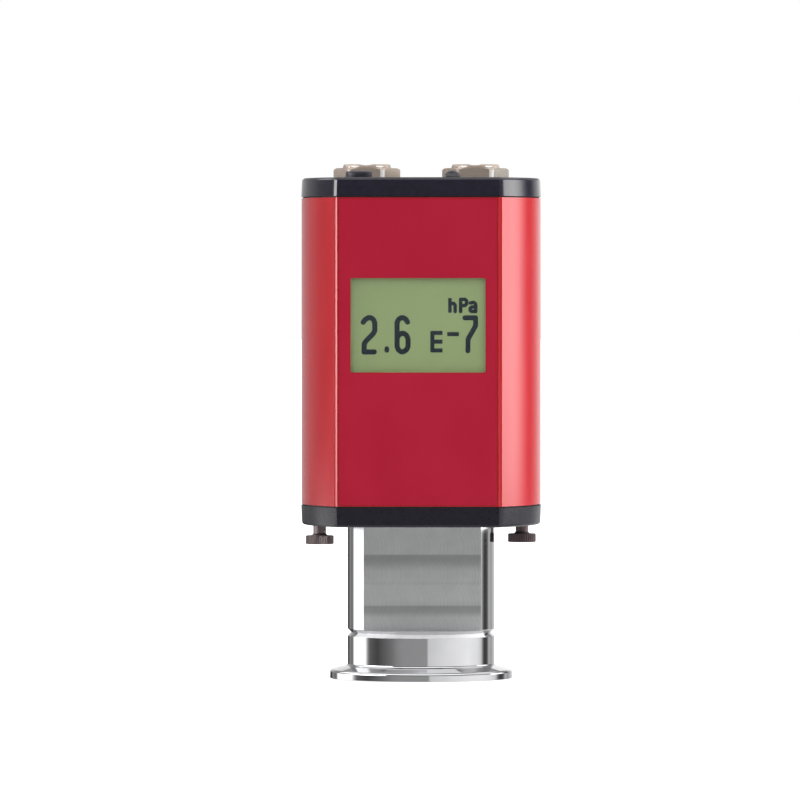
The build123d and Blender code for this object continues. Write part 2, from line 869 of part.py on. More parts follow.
def switch_plug():
    """Round plug that closes the hole over the address switch."""
    head = rod(plug_diameter / 2, top, top + plug_rise, switch_x, switch_y)
    rim = head.edges().filter_by(GeomType.CIRCLE).sort_by(Axis.Z)[-1]
    head = fillet(rim, plug_round)
    plug = join([head, rod(plug_stem / 2, top - plug_stem_length, top + slip, switch_x, switch_y)])
    slot = Pos(switch_x, switch_y, top + plug_rise)
    return plug - slot * Box(plug_slot, 2 * slot_width, 2 * slot_depth)


def status_lens():
    """Domed lens with its light guide, over the status lamp."""
    half = lens_diameter / 2
    dome_radius = (half**2 + lens_rise**2) / (2 * lens_rise)
    sphere = Pos(lamp_x, lamp_y, top + lens_rise - dome_radius) * Sphere(dome_radius)
    dome = sphere & rod(half, top, top + 2 * lens_rise, lamp_x, lamp_y)
    low = connector_board_top + lamp_height + lamp_gap
    return join([dome, rod(light_guide / 2, low, top + lens_rise / 2, lamp_x, lamp_y)])


def status_lamp():
    """Light-emitting chip on the connector board."""
    half = lamp_size / 2
    low = connector_board_top
    return block((lamp_x - half, lamp_x + half), (lamp_y - half, lamp_y + half), (low, low + lamp_height))


def save(name, shape):
    """Write one sub-part, a single solid or a group of separate ones."""
    if isinstance(shape, list):
        shape = Compound(children=[solid for piece in shape for solid in piece.solids()])
    elif len(shape.solids()) == 1:
        shape = shape.solids()[0]
    export_step(shape, f"parts/{name}.step")


def main():
    """Build and write every sub-part."""
    os.makedirs("parts", exist_ok=True)
    save("sensor_body", sensor_body())
    save("baffle", baffle())
    baffle_seat = mouth_depth + slip
    save(
        "baffle_screws",
        [
            pan_screw(
                x,
                y,
                baffle_seat,
                baffle_screw_diameter,
                baffle_screw_head,
                baffle_screw_head_height,
                baffle_screw_length,
                down=False,
            )
            for x, y in baffle_screw_places()
        ],
    )
    save("header_plate", header_plate())
    save("header_beads", header_beads())
    save("header_pins", header_pins())
    save("ioniser_grid", grid())
    save("ion_collector", collector())
    save("hot_filament", wire_loop(filament_pins))
    save("pirani_wire", wire_loop(pirani_pins))
    save("sensor_board", sensor_board())
    save("sensor_plug", sensor_plug())
    save("sensor_socket", sensor_socket())
    save(
        "plate_screws",
        [
            pan_screw(
                x,
                y,
                plate_top,
                plate_screw_diameter,
                plate_screw_head,
                plate_screw_head_height,
                plate_screw_length,
                down=True,
            )
            for x, y in plate_screw_places()
        ],
    )
    save("bottom_cap", bottom_cap())
    thumb_pad = thumb_shank / 2 + slip
    save("bottom_gasket", gasket(bottom_cap_top, thumb_places, thumb_port, thumb_pad))
    save("housing_shell", housing_shell())
    cap_pad = cap_screw_diameter / 2 + slip
    save("top_gasket", gasket(housing_high, cap_screw_places, cap_port, cap_pad))
    save("top_cap", top_cap())
    save("top_cap_screws", [cap_screw(x, y) for x, y in cap_screw_places])
    for side, place in zip(("left", "right"), thumb_places):
        save(f"{side}_thumb_screw", thumb_screw(*place))
    save("front_label", front_label())
    save("display_window", display_window())
    save("display_cell", display_cell())
    save("display_frame", display_frame())
    save("display_board", display_board())
    save("board_plug", board_plug())
    save("main_board", main_board())
    save("main_board_parts", main_board_parts())
    save("link_header", link_header())
    save("connector_board", connector_board())
    for side, x in socket_places.items():
        save(f"{side}_socket_shell", socket_shell(x))
        save(f"{side}_socket_nut", socket_nut(x))
        save(f"{side}_socket_insert", socket_insert(x))
        save(f"{side}_socket_contacts", socket_contacts(x))
    save("address_switch", address_switch())
    save("switch_plug", switch_plug())
    save("status_lens", status_lens())
    save("status_lamp", status_lamp())


main()
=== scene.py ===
"""Digital vacuum gauge: its visible pieces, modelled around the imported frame.

Sizes in the classes are millimetres in the frame's own axes: +Z up the tube, the display
towards -Y, the origin at the middle of the flange's sealing face.
"""

import logging
from collections.abc import Callable
from dataclasses import dataclass, field
from enum import Enum
from math import acos, atan2, cos, pi, radians, sin, sqrt, tan

import bmesh
import bpy
from mathutils import Matrix, Vector


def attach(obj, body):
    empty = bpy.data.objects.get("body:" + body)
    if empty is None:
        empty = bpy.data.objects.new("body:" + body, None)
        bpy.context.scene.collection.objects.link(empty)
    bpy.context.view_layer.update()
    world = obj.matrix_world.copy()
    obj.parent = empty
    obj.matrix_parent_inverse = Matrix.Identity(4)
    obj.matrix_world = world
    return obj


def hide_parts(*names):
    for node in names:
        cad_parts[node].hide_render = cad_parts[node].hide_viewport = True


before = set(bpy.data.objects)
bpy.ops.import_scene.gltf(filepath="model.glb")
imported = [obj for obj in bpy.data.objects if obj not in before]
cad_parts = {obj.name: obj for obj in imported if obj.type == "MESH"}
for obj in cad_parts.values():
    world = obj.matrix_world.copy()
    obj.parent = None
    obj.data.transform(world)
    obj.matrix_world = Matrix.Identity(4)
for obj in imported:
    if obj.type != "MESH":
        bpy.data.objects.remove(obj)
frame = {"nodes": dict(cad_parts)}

LOG = logging.getLogger("vacuum_gauge")
MM = 0.001
WELD = 1e-7
BODY = "root"
Point = tuple[float, float]
Stop = tuple[float, float]


class Slot(Enum):
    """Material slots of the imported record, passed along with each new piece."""

    STEEL = "stainless_steel"
    CRIMSON = "crimson_aluminium"
    CAP = "black_plastic"
    BLACK_STEEL = "black_steel"
    NICKEL = "nickel"
    PLUG = "plug_plastic"
    LENS = "lens_plastic"
    DISPLAY = "display_green"


class Ends(Enum):
    """How a stroke on the display ends."""

    ROUND = "round"
    SQUARE = "square"


# Materials


def linear(channel: float) -> float:
    """Linear value of one sRGB channel from 0 to 255."""
    share = channel / 255
    return share / 12.92 if share <= 0.04045 else ((share + 0.055) / 1.055) ** 2.4


def rgba(colour: tuple[float, float, float], gain: float = 1.0) -> tuple[float, float, float, float]:
    """Linear colour with alpha from an sRGB triple, lightened or darkened by gain."""
    red, green, blue = (min(linear(channel) * gain, 1.0) for channel in colour)
    return (red, green, blue, 1.0)


class Graph:
    """Node tree of one material, with short ways to add and join its nodes."""

    def __init__(self, name: str) -> None:
        """Start a material with its shader and object coordinates.

        Args:
            name: Name of the material.
        """
        self.material = bpy.data.materials.new(name)
        self.material.use_nodes = True
        self.tree = self.material.node_tree
        self.shader = self.tree.nodes["Principled BSDF"]
        self.place = self.add("ShaderNodeTexCoord").outputs["Object"]

    def add(self, kind: str) -> bpy.types.Node:
        """Add a node of a kind."""
        return self.tree.nodes.new(kind)

    def join(self, source: bpy.types.NodeSocket, target: bpy.types.NodeSocket) -> None:
        """Join an output to an input."""
        self.tree.links.new(source, target)

    def fix(self, **values: float) -> None:
        """Set the shader's own sockets, named with underscores for spaces."""
        for name, value in values.items():
            self.shader.inputs[name.replace("_", " ")].default_value = value

    def drive(self, name: str, source: bpy.types.NodeSocket) -> None:
        """Join a source to one of the shader's sockets."""
        self.join(source, self.shader.inputs[name])

    def stretched(self, scale: tuple[float, float, float]) -> bpy.types.NodeSocket:
        """Object coordinates, stretched per axis.

        Args:
            scale: Factor along x, y and z.

        Returns:
            The mapped vector.
        """
        mapping = self.add("ShaderNodeMapping")
        mapping.inputs["Scale"].default_value = scale
        self.join(self.place, mapping.inputs["Vector"])
        return mapping.outputs["Vector"]

    def noise(
        self, grain: float, scale: tuple[float, float, float] = (1.0, 1.0, 1.0), detail: float = 3.0
    ) -> bpy.types.NodeSocket:
        """Cloudy value of a grain size.

        Args:
            grain: Size of the grain in millimetres.
            scale: Factor along x, y and z, to draw the grain out.
            detail: Number of finer layers.

        Returns:
            A value around one half.
        """
        texture = self.add("ShaderNodeTexNoise")
        texture.inputs["Scale"].default_value = 1 / (grain * MM)
        texture.inputs["Detail"].default_value = detail
        self.join(self.stretched(scale), texture.inputs["Vector"])
        return texture.outputs["Fac"]

    def spread(
        self, source: bpy.types.NodeSocket, low: float, high: float, start: float = 0.3, stop: float = 0.7
    ) -> bpy.types.NodeSocket:
        """Stretch a value's usual range to another.

        Args:
            source: Value to stretch.
            low: Result at start.
            high: Result at stop.
            start: Lower end of the source's range.
            stop: Upper end of the source's range.

        Returns:
            The stretched value, clamped.
        """
        node = self.add("ShaderNodeMapRange")
        node.inputs["From Min"].default_value = start
        node.inputs["From Max"].default_value = stop
        node.inputs["To Min"].default_value = low
        node.inputs["To Max"].default_value = high
        self.join(source, node.inputs["Value"])
        return node.outputs["Result"]

    def blend(
        self, share: bpy.types.NodeSocket, first: tuple[float, ...], second: tuple[float, ...]
    ) -> bpy.types.NodeSocket:
        """Colour between two, by a share from 0 to 1.

        Args:
            share: Share of the second colour.
            first: Colour at 0.
            second: Colour at 1.

        Returns:
            The blended colour.
        """
        ramp = self.add("ShaderNodeValToRGB")
        ramp.color_ramp.elements[0].color = first
        ramp.color_ramp.elements[1].color = second
        self.join(share, ramp.inputs["Fac"])
        return ramp.outputs["Color"]

    def relief(self, height: bpy.types.NodeSocket, depth: float, strength: float = 1.0) -> None:
        """Raise and sink the surface by a height, depth millimetres at most."""
        bump = self.add("ShaderNodeBump")
        bump.inputs["Distance"].default_value = depth * MM
        bump.inputs["Strength"].default_value = strength
        self.join(height, bump.inputs["Height"])
        self.drive("Normal", bump.outputs["Normal"])

    def maths(
        self, operation: str, first: bpy.types.NodeSocket, second: bpy.types.NodeSocket | float = 0.0
    ) -> bpy.types.NodeSocket:
        """One sum on a value and another value or a number.

        Args:
            operation: Kind of sum.
            first: First value.
            second: Second value or a number.

        Returns:
            The result.
        """
        node = self.add("ShaderNodeMath")
        node.operation = operation
        self.join(first, node.inputs[0])
        if isinstance(second, float):
            node.inputs[1].default_value = second
        else:
            self.join(second, node.inputs[1])
        return node.outputs["Value"]

    def axis(self, index: int) -> bpy.types.NodeSocket:
        """One of the object coordinates, in metres."""
        split = self.add("ShaderNodeSeparateXYZ")
        self.join(self.place, split.inputs["Vector"])
        return split.outputs[index]


@dataclass(frozen=True)
class Finish:
    """A finish whose colour and gloss drift a little, over a fine relief."""

    name: str
    colour: tuple[float, float, float]
    drift: float = 0.08
    gloss: tuple[float, float] = (0.35, 0.45)
    metallic: float = 0.0
    ior: float = 1.5
    grain: float = 1.5
    draw: tuple[float, float, float] = (1.0, 1.0, 1.0)
    texture: float = 0.3
    depth: float = 0.01
    transmission: float = 0.0
    shine: float = 0.5

    def build(self) -> bpy.types.Material:
        """Make the material.

        Returns:
            The finished material.
        """
        graph = Graph(self.name)
        graph.fix(Metallic=self.metallic, IOR=self.ior, Transmission_Weight=self.transmission)
        graph.fix(Specular_IOR_Level=self.shine)
        self.tint(graph)
        self.surface(graph)
        return graph.material

    def tint(self, graph: Graph) -> None:
        """Colour and gloss that follow a soft cloud."""
        cloud = graph.noise(self.grain, self.draw)
        share = graph.spread(cloud, 0.0, 1.0)
        dark = rgba(self.colour, 1 - self.drift)
        light = rgba(self.colour, 1 + self.drift)
        graph.drive("Base Color", graph.blend(share, dark, light))
        graph.drive("Roughness", graph.spread(cloud, *self.gloss))

    def surface(self, graph: Graph) -> None:
        """Fine relief of the surface."""
        if self.depth:
            graph.relief(graph.noise(self.texture, self.draw, detail=2.0), self.depth)


@dataclass(frozen=True)
class TurnedSteel(Finish):
    """Steel with the fine rings that a lathe leaves round the tube."""

    feed: float = 0.22

    def surface(self, graph: Graph) -> None:
        """Rings up the tube, as fine as the tool's feed."""
        rings = graph.noise(self.feed, (0.02, 0.02, 1.0), detail=4.0)
        graph.relief(rings, self.depth)


@dataclass(frozen=True)
class MilledSteel(Finish):
    """Steel milled in level runs of the cutter, with painted shade under each step and painted light above it."""

    pass_shades: tuple[Stop, ...] = ()
    low: float = 0.0
    high: float = 1.0
    stride: float = 4.2
    bow: float = 0.09
    patch: float = 4.0

    def tint(self, graph: Graph) -> None:
        """Grey that steps at each pass, painted shade under each step and painted light above it, with faint streaks
        of the cutter's arcs.
        """
        height = graph.spread(graph.axis(2), 0.0, 1.0, self.low * MM, self.high * MM)
        # Ramp of painted shade under each step and painted light above it, by height on the flat.
        ramp = graph.add("ShaderNodeValToRGB")
        elements = ramp.color_ramp.elements
        while len(elements) < len(self.pass_shades):
            elements.new(0.5)
        for element, (place, grey) in zip(elements, self.pass_shades):
            element.position = place
            element.color = rgba(self.colour, grey)
        graph.join(height, ramp.inputs["Fac"])
        streaks = graph.spread(self.sweeps(graph), 0.92, 1.07, 0.2, 0.8)
        mix = graph.add("ShaderNodeVectorMath")
        mix.operation = "SCALE"
        graph.join(ramp.outputs["Color"], mix.inputs[0])
        graph.join(streaks, mix.inputs["Scale"])
        graph.drive("Base Color", mix.outputs["Vector"])
        graph.drive("Roughness", graph.spread(graph.noise(self.grain, self.draw), *self.gloss))

    def sweeps(self, graph: Graph) -> bpy.types.NodeSocket:
        """Short bowed marks that the cutter leaves across each pass, as a value.

        Args:
            graph: The material's nodes.

        Returns:
            A value that runs across the marks.
        """
        level = graph.maths("SUBTRACT", graph.axis(2), self.low * MM)
        wave = graph.maths("PINGPONG", level, self.stride * MM)
        bow = graph.maths("MULTIPLY", graph.maths("MULTIPLY", wave, wave), self.bow / MM)
        noise = graph.add("ShaderNodeTexNoise")
        noise.noise_dimensions = "1D"
        noise.inputs["Scale"].default_value = 1 / (self.texture * MM)
        noise.inputs["Detail"].default_value = 4.0
        graph.join(graph.maths("ADD", graph.axis(0), bow), noise.inputs["W"])
        patches = graph.noise(self.patch, (1.0, 1.0, 2.0))
        return graph.maths("MULTIPLY", noise.outputs["Fac"], graph.spread(patches, 0.8, 1.2))

    def surface(self, graph: Graph) -> None:
        """Relief of the same arcs."""
        graph.relief(self.sweeps(graph), self.depth)


@dataclass(frozen=True)
class DisplayGlass(Finish):
    """Display field, painted lighter and greener towards its edges as light against the recess's shade."""

    edge: tuple[float, float, float] = (0.0, 0.0, 0.0)
    half: Point = (20.1, 14.05)
    middle: float = 106.7
    margin: float = 1.1

    def tint(self, graph: Graph) -> None:
        """Field colour painted lighter and greener within a margin of the window's edges, against the recess's
        shade.
        """
        across = self.nearness(graph, graph.axis(0), self.half[0])
        level = graph.maths("SUBTRACT", graph.axis(2), self.middle * MM)
        up = self.nearness(graph, level, self.half[1])
        cloud = graph.spread(graph.noise(self.grain), -0.06, 0.06)
        share = graph.maths("ADD", graph.maths("MAXIMUM", across, up), cloud)
        graph.drive("Base Color", graph.blend(share, rgba(self.colour), rgba(self.edge)))
        graph.drive("Roughness", graph.spread(graph.noise(self.grain), *self.gloss))

    def nearness(self, graph: Graph, place: bpy.types.NodeSocket, half: float) -> bpy.types.NodeSocket:
        """How near a place is to one of two opposite edges, from 0 to 1.

        Args:
            graph: The material's nodes.
            place: Signed distance from the middle in metres.
            half: Distance from the middle to the edge in millimetres.

        Returns:
            0 inside the margin and 1 at the edge.
        """
        size = graph.maths("ABSOLUTE", place)
        return graph.spread(size, 0.0, 1.0, (half - self.margin) * MM, half * MM)


FINISHES = {
    "stainless_steel": TurnedSteel(
        "stainless_steel", (203, 203, 205), 0.03, (0.02, 0.035), 1.0, grain=6.0, depth=0.00012
    ),
    "milled_steel": MilledSteel(
        "milled_steel",
        (228, 230, 230),
        gloss=(0.3, 0.38),
        metallic=1.0,
        grain=3.0,
        texture=0.5,
        depth=0.002,
        low=14.75,
        high=46.5,
        # Painted shade and light of each pass: place up the flat and grey gain.
        pass_shades=(
            (0.0, 1.04), (0.123, 0.97), (0.181, 0.68), (0.228, 0.637), (0.244, 0.93), (0.295, 1.0),
            (0.427, 1.0), (0.446, 0.93), (0.474, 1.02), (0.56, 1.0), (0.597, 0.9), (0.634, 0.755),
            (0.672, 0.66), (0.71, 0.67), (0.729, 1.0), (1.0, 1.0),
        ),
    ),
    # Painted highlight: near-white copy of the steel for the groove's lower flank near the front and back.
    "groove_painted_highlight": TurnedSteel(
        "groove_painted_highlight", (238, 238, 240), 0.03, (0.34, 0.4), 0.3, grain=3.0, depth=0.001
    ),
    # Painted light: lit copy of the steel for the groove's upper flank, the ledge, near the front and back.
    "ledge_painted_light": TurnedSteel(
        "ledge_painted_light", (182, 182, 184), 0.05, (0.34, 0.4), 0.3, grain=3.0, depth=0.001
    ),
    "crimson_aluminium": Finish(
        "crimson_aluminium", (176, 26, 36), 0.03, (0.18, 0.22), 0.0, 1.5, 9.0, (1.0, 1.0, 0.3), 0.35, 0.0015
    ),
    "crimson_film": Finish(
        "crimson_film",
        (165, 15, 45),
        0.03,
        (0.28, 0.34),
        ior=1.45,
        grain=14.0,
        draw=(1.0, 1.0, 0.6),
        texture=0.5,
        depth=0.001,
        shine=0.28,
    ),
    "black_plastic": Finish(
        "black_plastic", (34, 32, 43), 0.12, (0.07, 0.11), 0.0, 1.52, 1.6, texture=1.6, depth=0.006
    ),
    "matte_plastic": Finish(
        "matte_plastic", (23, 21, 31), 0.12, (0.26, 0.32), 0.0, 1.52, 1.6, texture=0.9, depth=0.006, shine=0.3
    ),
    "black_steel": Finish(
        "black_steel", (104, 90, 91), 0.2, (0.3, 0.42), 0.5, 1.5, 1.0, texture=0.25, depth=0.004
    ),
    "nickel": Finish(
        "nickel", (176, 161, 149), 0.06, (0.3, 0.38), 0.35, grain=0.5, texture=0.25, depth=0.003
    ),
    # Painted highlight: near-white nickel for the sleeve facets and the nuts' right front edges.
    "nickel_painted_highlight": Finish("nickel_painted_highlight", (246, 243, 238), 0.02, (0.3, 0.36), 0.1, grain=0.5, depth=0.0),
    # Painted shade: duller, darker nickel for the right nut's far right face.
    "nickel_matte_painted_shade": Finish(
        "nickel_matte_painted_shade", (158, 152, 142), 0.3, (0.6, 0.7), grain=0.35, texture=0.3, depth=0.01, shine=0.15
    ),
    "plug_plastic": Finish(
        "plug_plastic", (34, 34, 46), 0.1, (0.4, 0.48), grain=1.0, texture=0.4, depth=0.004
    ),
    "lens_plastic": Finish(
        "lens_plastic", (44, 40, 46), 0.08, (0.1, 0.16), grain=1.0, depth=0.0, transmission=0.25
    ),
    # Edge colour is painted light that offsets the shade of the window's recess.
    "display_green": DisplayGlass(
        "display_green", (146, 164, 110), gloss=(0.35, 0.4), grain=4.0, depth=0.0, edge=(150, 172, 108)
    ),
    "display_ink": Finish("display_ink", (26, 38, 48), 0.06, (0.4, 0.5), grain=0.6, depth=0.0, shine=0.1),
    "clear_pane": Finish(
        "clear_pane", (250, 252, 250), 0.004, (0.02, 0.03), 0.0, 1.3, 8.0, depth=0.0, transmission=1.0
    ),
    "black_rubber": Finish("black_rubber", (20, 16, 18), 0.2, (0.6, 0.75), grain=0.8, depth=0.01),
    "screw_steel": Finish(
        "screw_steel", (150, 150, 152), 0.06, (0.22, 0.32), 1.0, grain=0.8, depth=0.003
    ),
    "steel_wire": Finish("steel_wire", (190, 186, 178), 0.1, (0.25, 0.4), 1.0, grain=0.6, depth=0.002),
    "bead_glass": Finish("bead_glass", (60, 78, 96), 0.2, (0.08, 0.14), grain=0.5, depth=0.0),
    "insert_plastic": Finish(
        "insert_plastic", (28, 28, 30), 0.12, (0.35, 0.45), grain=0.7, texture=0.3, depth=0.004
    ),
    "contact_brass": Finish(
        "contact_brass", (232, 190, 104), 0.08, (0.15, 0.25), 1.0, grain=0.4, depth=0.001
    ),
    "board_laminate": Finish(
        "board_laminate", (24, 82, 46), 0.2, (0.35, 0.45), grain=0.9, texture=0.25, depth=0.006
    ),
    "component_plastic": Finish(
        "component_plastic", (30, 30, 32), 0.15, (0.45, 0.6), grain=1.2, texture=0.3, depth=0.006
    ),
    "frame_plastic": Finish(
        "frame_plastic", (222, 222, 214), 0.05, (0.4, 0.5), grain=1.5, texture=0.4, depth=0.004
    ),
    "lamp_plastic": Finish("lamp_plastic", (236, 232, 214), 0.06, (0.3, 0.4), grain=0.5, depth=0.0),
}


class Wardrobe:
    """Makes each finish once and hands it out."""

    def __init__(self) -> None:
        """Start with no material made."""
        self.made: dict[str, bpy.types.Material] = {}

    def get(self, name: str) -> bpy.types.Material:
        """Material of a finish, made the first time it is asked for."""
        if name not in self.made:
            self.made[name] = FINISHES[name].build()
        return self.made[name]

    def dress_nodes(self, nodes: dict[str, bpy.types.Object]) -> None:
        """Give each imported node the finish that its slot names.

        Args:
            nodes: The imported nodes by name.
        """
        for node in nodes.values():
            for slot in node.material_slots:
                slot.material = self.get(slot.material.name.split(".")[0])


# Modelling


def deselect() -> None:
    """Leave nothing selected."""
    for item in list(bpy.context.selected_objects):
        item.select_set(False)
    bpy.context.view_layer.objects.active = None


def arc(x: float, y: float, radius: float, start: float, stop: float, steps: int) -> list[Point]:
    """Points along an arc.

    Args:
        x: Centre's first coordinate.
        y: Centre's second coordinate.
        radius: Radius of the arc.
        start: First angle in degrees.
        stop: Last angle in degrees.
        steps: Number of chords.

    Returns:
        The points, both ends included.
    """
    turns = [radians(start + (stop - start) * k / steps) for k in range(steps + 1)]
    return [(x + radius * cos(turn), y + radius * sin(turn)) for turn in turns]


def soften(corners: list[tuple[float, float, float]], steps: int = 5) -> list[Point]:
    """Closed outline with rounded corners.

    Args:
        corners: Two coordinates and a corner radius for each corner, in order.
        steps: Number of chords in each rounding below a millimetre, twice as many above.

    Returns:
        The outline's points.
    """
    outline: list[Point] = []
    for k, (x, y, radius) in enumerate(corners):
        here = Vector((x, y))
        if not radius:
            outline.append((x, y))
            continue
        before = (Vector(corners[k - 1][:2]) - here).normalized()
        after = (Vector(corners[(k + 1) % len(corners)][:2]) - here).normalized()
        half = acos(max(-1.0, min(1.0, before.dot(after)))) / 2
        centre = here + (before + after).normalized() * (radius / sin(half))
        first = here + before * (radius / tan(half)) - centre
        last = here + after * (radius / tan(half)) - centre
        start = atan2(first.y, first.x)
        sweep = (atan2(last.y, last.x) - start + pi) % (2 * pi) - pi
        chords = steps if radius < 1.0 else 2 * steps
        for step in range(chords + 1):
            turn = start + sweep * step / chords
            outline.append((centre.x + radius * cos(turn), centre.y + radius * sin(turn)))
    return outline


class Workpiece:
    """One new mesh at the origin, shaped with Blender's own operators."""

    def __init__(self, name: str) -> None:
        """Start an empty mesh in edit mode.

        Args:
            name: Name of the piece.
        """
        deselect()
        bpy.ops.mesh.primitive_plane_add(size=MM)
        self.item = bpy.context.active_object
        self.item.name = name
        self.item.data.name = name
        bpy.ops.object.mode_set(mode="EDIT")
        bpy.ops.mesh.select_all(action="SELECT")

    def trace(self, points: list[tuple[float, float, float]]) -> None:
        """Shrink the start to a point and draw it along a closed line.

        Args:
            points: Corners of the line in millimetres.
        """
        bpy.ops.mesh.merge(type="CENTER")
        places = [Vector(point) * MM for point in points]
        bpy.ops.transform.translate(value=places[0])
        for here, there in zip(places, places[1:] + places[:1]):
            bpy.ops.mesh.extrude_region_move(TRANSFORM_OT_translate={"value": there - here})
        bpy.ops.mesh.select_all(action="SELECT")
        bpy.ops.mesh.remove_doubles(threshold=WELD)

    def clear(self) -> None:
        """Remove the start, so that primitives can be added at their places."""
        bpy.ops.mesh.delete(type="VERT")

    def pick_edges(self, test: Callable[[Vector, Vector], bool]) -> None:
        """Select the edges that a test on their two ends, in millimetres, accepts."""
        mesh = bmesh.from_edit_mesh(self.item.data)
        bpy.ops.mesh.select_all(action="DESELECT")
        bpy.ops.mesh.select_mode(type="EDGE")
        for edge in mesh.edges:
            first, last = (vertex.co / MM for vertex in edge.verts)
            edge.select_set(test(first, last))
        bmesh.update_edit_mesh(self.item.data)

    def settle(self) -> bpy.types.Object:
        """Turn the faces outwards and leave edit mode.

        Returns:
            The mesh object.
        """
        bpy.ops.mesh.select_mode(type="VERT")
        bpy.ops.mesh.select_all(action="SELECT")
        bpy.ops.mesh.remove_doubles(threshold=WELD)
        bpy.ops.mesh.normals_make_consistent(inside=False)
        bpy.ops.object.mode_set(mode="OBJECT")
        return self.item


def prism(name: str, outline: list[Point], low: float, high: float, taper: float = 1.0) -> Workpiece:
    """Upright bar of an outline, left in edit mode.

    Args:
        name: Name of the piece.
        outline: Plan of the bar.
        low: Lower height.
        high: Upper height.
        taper: Size of the top against the foot.

    Returns:
        The piece in edit mode.
    """
    piece = Workpiece(name)
    piece.trace([(x, y, low) for x, y in outline])
    bpy.ops.mesh.edge_face_add()
    bpy.ops.mesh.extrude_region_move(TRANSFORM_OT_translate={"value": (0, 0, (high - low) * MM)})
    if taper != 1.0:
        bpy.ops.transform.resize(value=(taper, taper, 1.0), center_override=(0, 0, high * MM))
    return piece


def turned(name: str, profile: list[Point], steps: int, x: float = 0.0, y: float = 0.0) -> bpy.types.Object:
    """Closed profile of radius and height, turned round an upright axis.

    Args:
        name: Name of the piece.
        profile: Closed profile.
        steps: Number of steps round the axis.
        x: Axis place.
        y: Axis place.

    Returns:
        The turned mesh object.
    """
    piece = Workpiece(name)
    piece.trace([(x + radius, y, height) for radius, height in profile])
    centre = (x * MM, y * MM, 0.0)
    bpy.ops.mesh.spin(steps=steps, angle=2 * pi, center=centre, axis=(0, 0, 1))
    return piece.settle()


def bar(
    name: str, radius: float, low: float, high: float, x: float, y: float, steps: int = 48
) -> bpy.types.Object:
    """Plain round bar, used as a drill."""
    return turned(name, [(0, low), (radius, low), (radius, high), (0, high)], steps, x, y)


def block(name: str, low: tuple[float, float, float], high: tuple[float, float, float]) -> bpy.types.Object:
    """Plain block between two corners, used as a cutter."""
    outline = [(low[0], low[1]), (high[0], low[1]), (high[0], high[1]), (low[0], high[1])]
    return prism(name, outline, low[2], high[2]).settle()


def combine(target: bpy.types.Object, tools: list[bpy.types.Object], way: str = "DIFFERENCE") -> None:
    """Cut tools from a piece, join them to it or keep the overlap, and remove the tools.

    Args:
        target: Piece that is changed.
        tools: Pieces that change it.
        way: Operation of the modifier.
    """
    for tool in tools:
        deselect()
        bpy.context.view_layer.objects.active = target
        target.select_set(True)
        modifier = target.modifiers.new("combine", "BOOLEAN")
        modifier.operation = way
        modifier.solver = "EXACT"
        modifier.object = tool
        bpy.ops.object.modifier_apply(modifier=modifier.name)
        bpy.data.objects.remove(tool)


def mend(item: bpy.types.Object, gap: float = 0.004, angle: float = 0.5) -> None:
    """Merge the doubles that a union leaves, and dissolve its flat seams.

    Args:
        item: Piece to mend.
        gap: Distance up to which points are merged, in millimetres.
        angle: Largest angle of a seam that is dissolved, in degrees.
    """
    deselect()
    bpy.context.view_layer.objects.active = item
    item.select_set(True)
    bpy.ops.object.mode_set(mode="EDIT")
    bpy.ops.mesh.select_all(action="SELECT")
    bpy.ops.mesh.remove_doubles(threshold=gap * MM)
    bpy.ops.mesh.dissolve_degenerate(threshold=gap * MM)
    bpy.ops.mesh.dissolve_limited(angle_limit=radians(angle))
    bpy.ops.object.mode_set(mode="OBJECT")


def ease(item: bpy.types.Object, width: float, segments: int = 3, angle: float = 35.0) -> None:
    """Round a piece's sharp edges with an applied bevel.

    Args:
        item: Piece to ease.
        width: Width of the bevel in millimetres.
        segments: Number of strips in the bevel.
        angle: Least angle of an edge that is eased, in degrees.
    """
    deselect()
    bpy.context.view_layer.objects.active = item
    item.select_set(True)
    modifier = item.modifiers.new("ease", "BEVEL")
    modifier.width = width * MM
    modifier.segments = segments
    modifier.limit_method = "ANGLE"
    modifier.angle_limit = radians(angle)
    modifier.use_clamp_overlap = True
    bpy.ops.object.modifier_apply(modifier=modifier.name)


def polish(item: bpy.types.Object, angle: float = 28.0) -> None:
    """Shade a piece smoothly over edges up to an angle in degrees, its broad faces flat."""
    deselect()
    bpy.context.view_layer.objects.active = item
    item.select_set(True)
    bpy.ops.object.shade_smooth_by_angle(angle=radians(angle))
    modifier = item.modifiers.new("flatten", "WEIGHTED_NORMAL")
    modifier.mode = "FACE_AREA"
    modifier.keep_sharp = True
    bpy.ops.object.modifier_apply(modifier=modifier.name)


def twin(item: bpy.types.Object, name: str, shift: tuple[float, float, float]) -> bpy.types.Object:
    """Copy of a piece with its own mesh, moved by a shift in millimetres.

    Args:
        item: Piece to copy.
        name: Name of the copy.
        shift: Way from the piece to its copy.

    Returns:
        The copy.
    """
    copy = item.copy()
    copy.data = item.data.copy()
    copy.name = name
    copy.data.name = name
    bpy.context.collection.objects.link(copy)
    copy.data.transform(Matrix.Translation(Vector(shift) * MM))
    return copy


def deliver(item: bpy.types.Object, slot: Slot, materials: list[bpy.types.Material], *nodes: str) -> None:
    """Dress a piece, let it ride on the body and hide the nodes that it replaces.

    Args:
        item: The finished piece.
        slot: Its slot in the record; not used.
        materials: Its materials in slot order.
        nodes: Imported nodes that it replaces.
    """
    item.data.materials.clear()
    for material in materials:
        item.data.materials.append(material)
    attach(item, BODY)
    if nodes:
        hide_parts(*nodes)
    LOG.info("%s: %d faces", item.name, len(item.data.polygons))


# Sub-assemblies


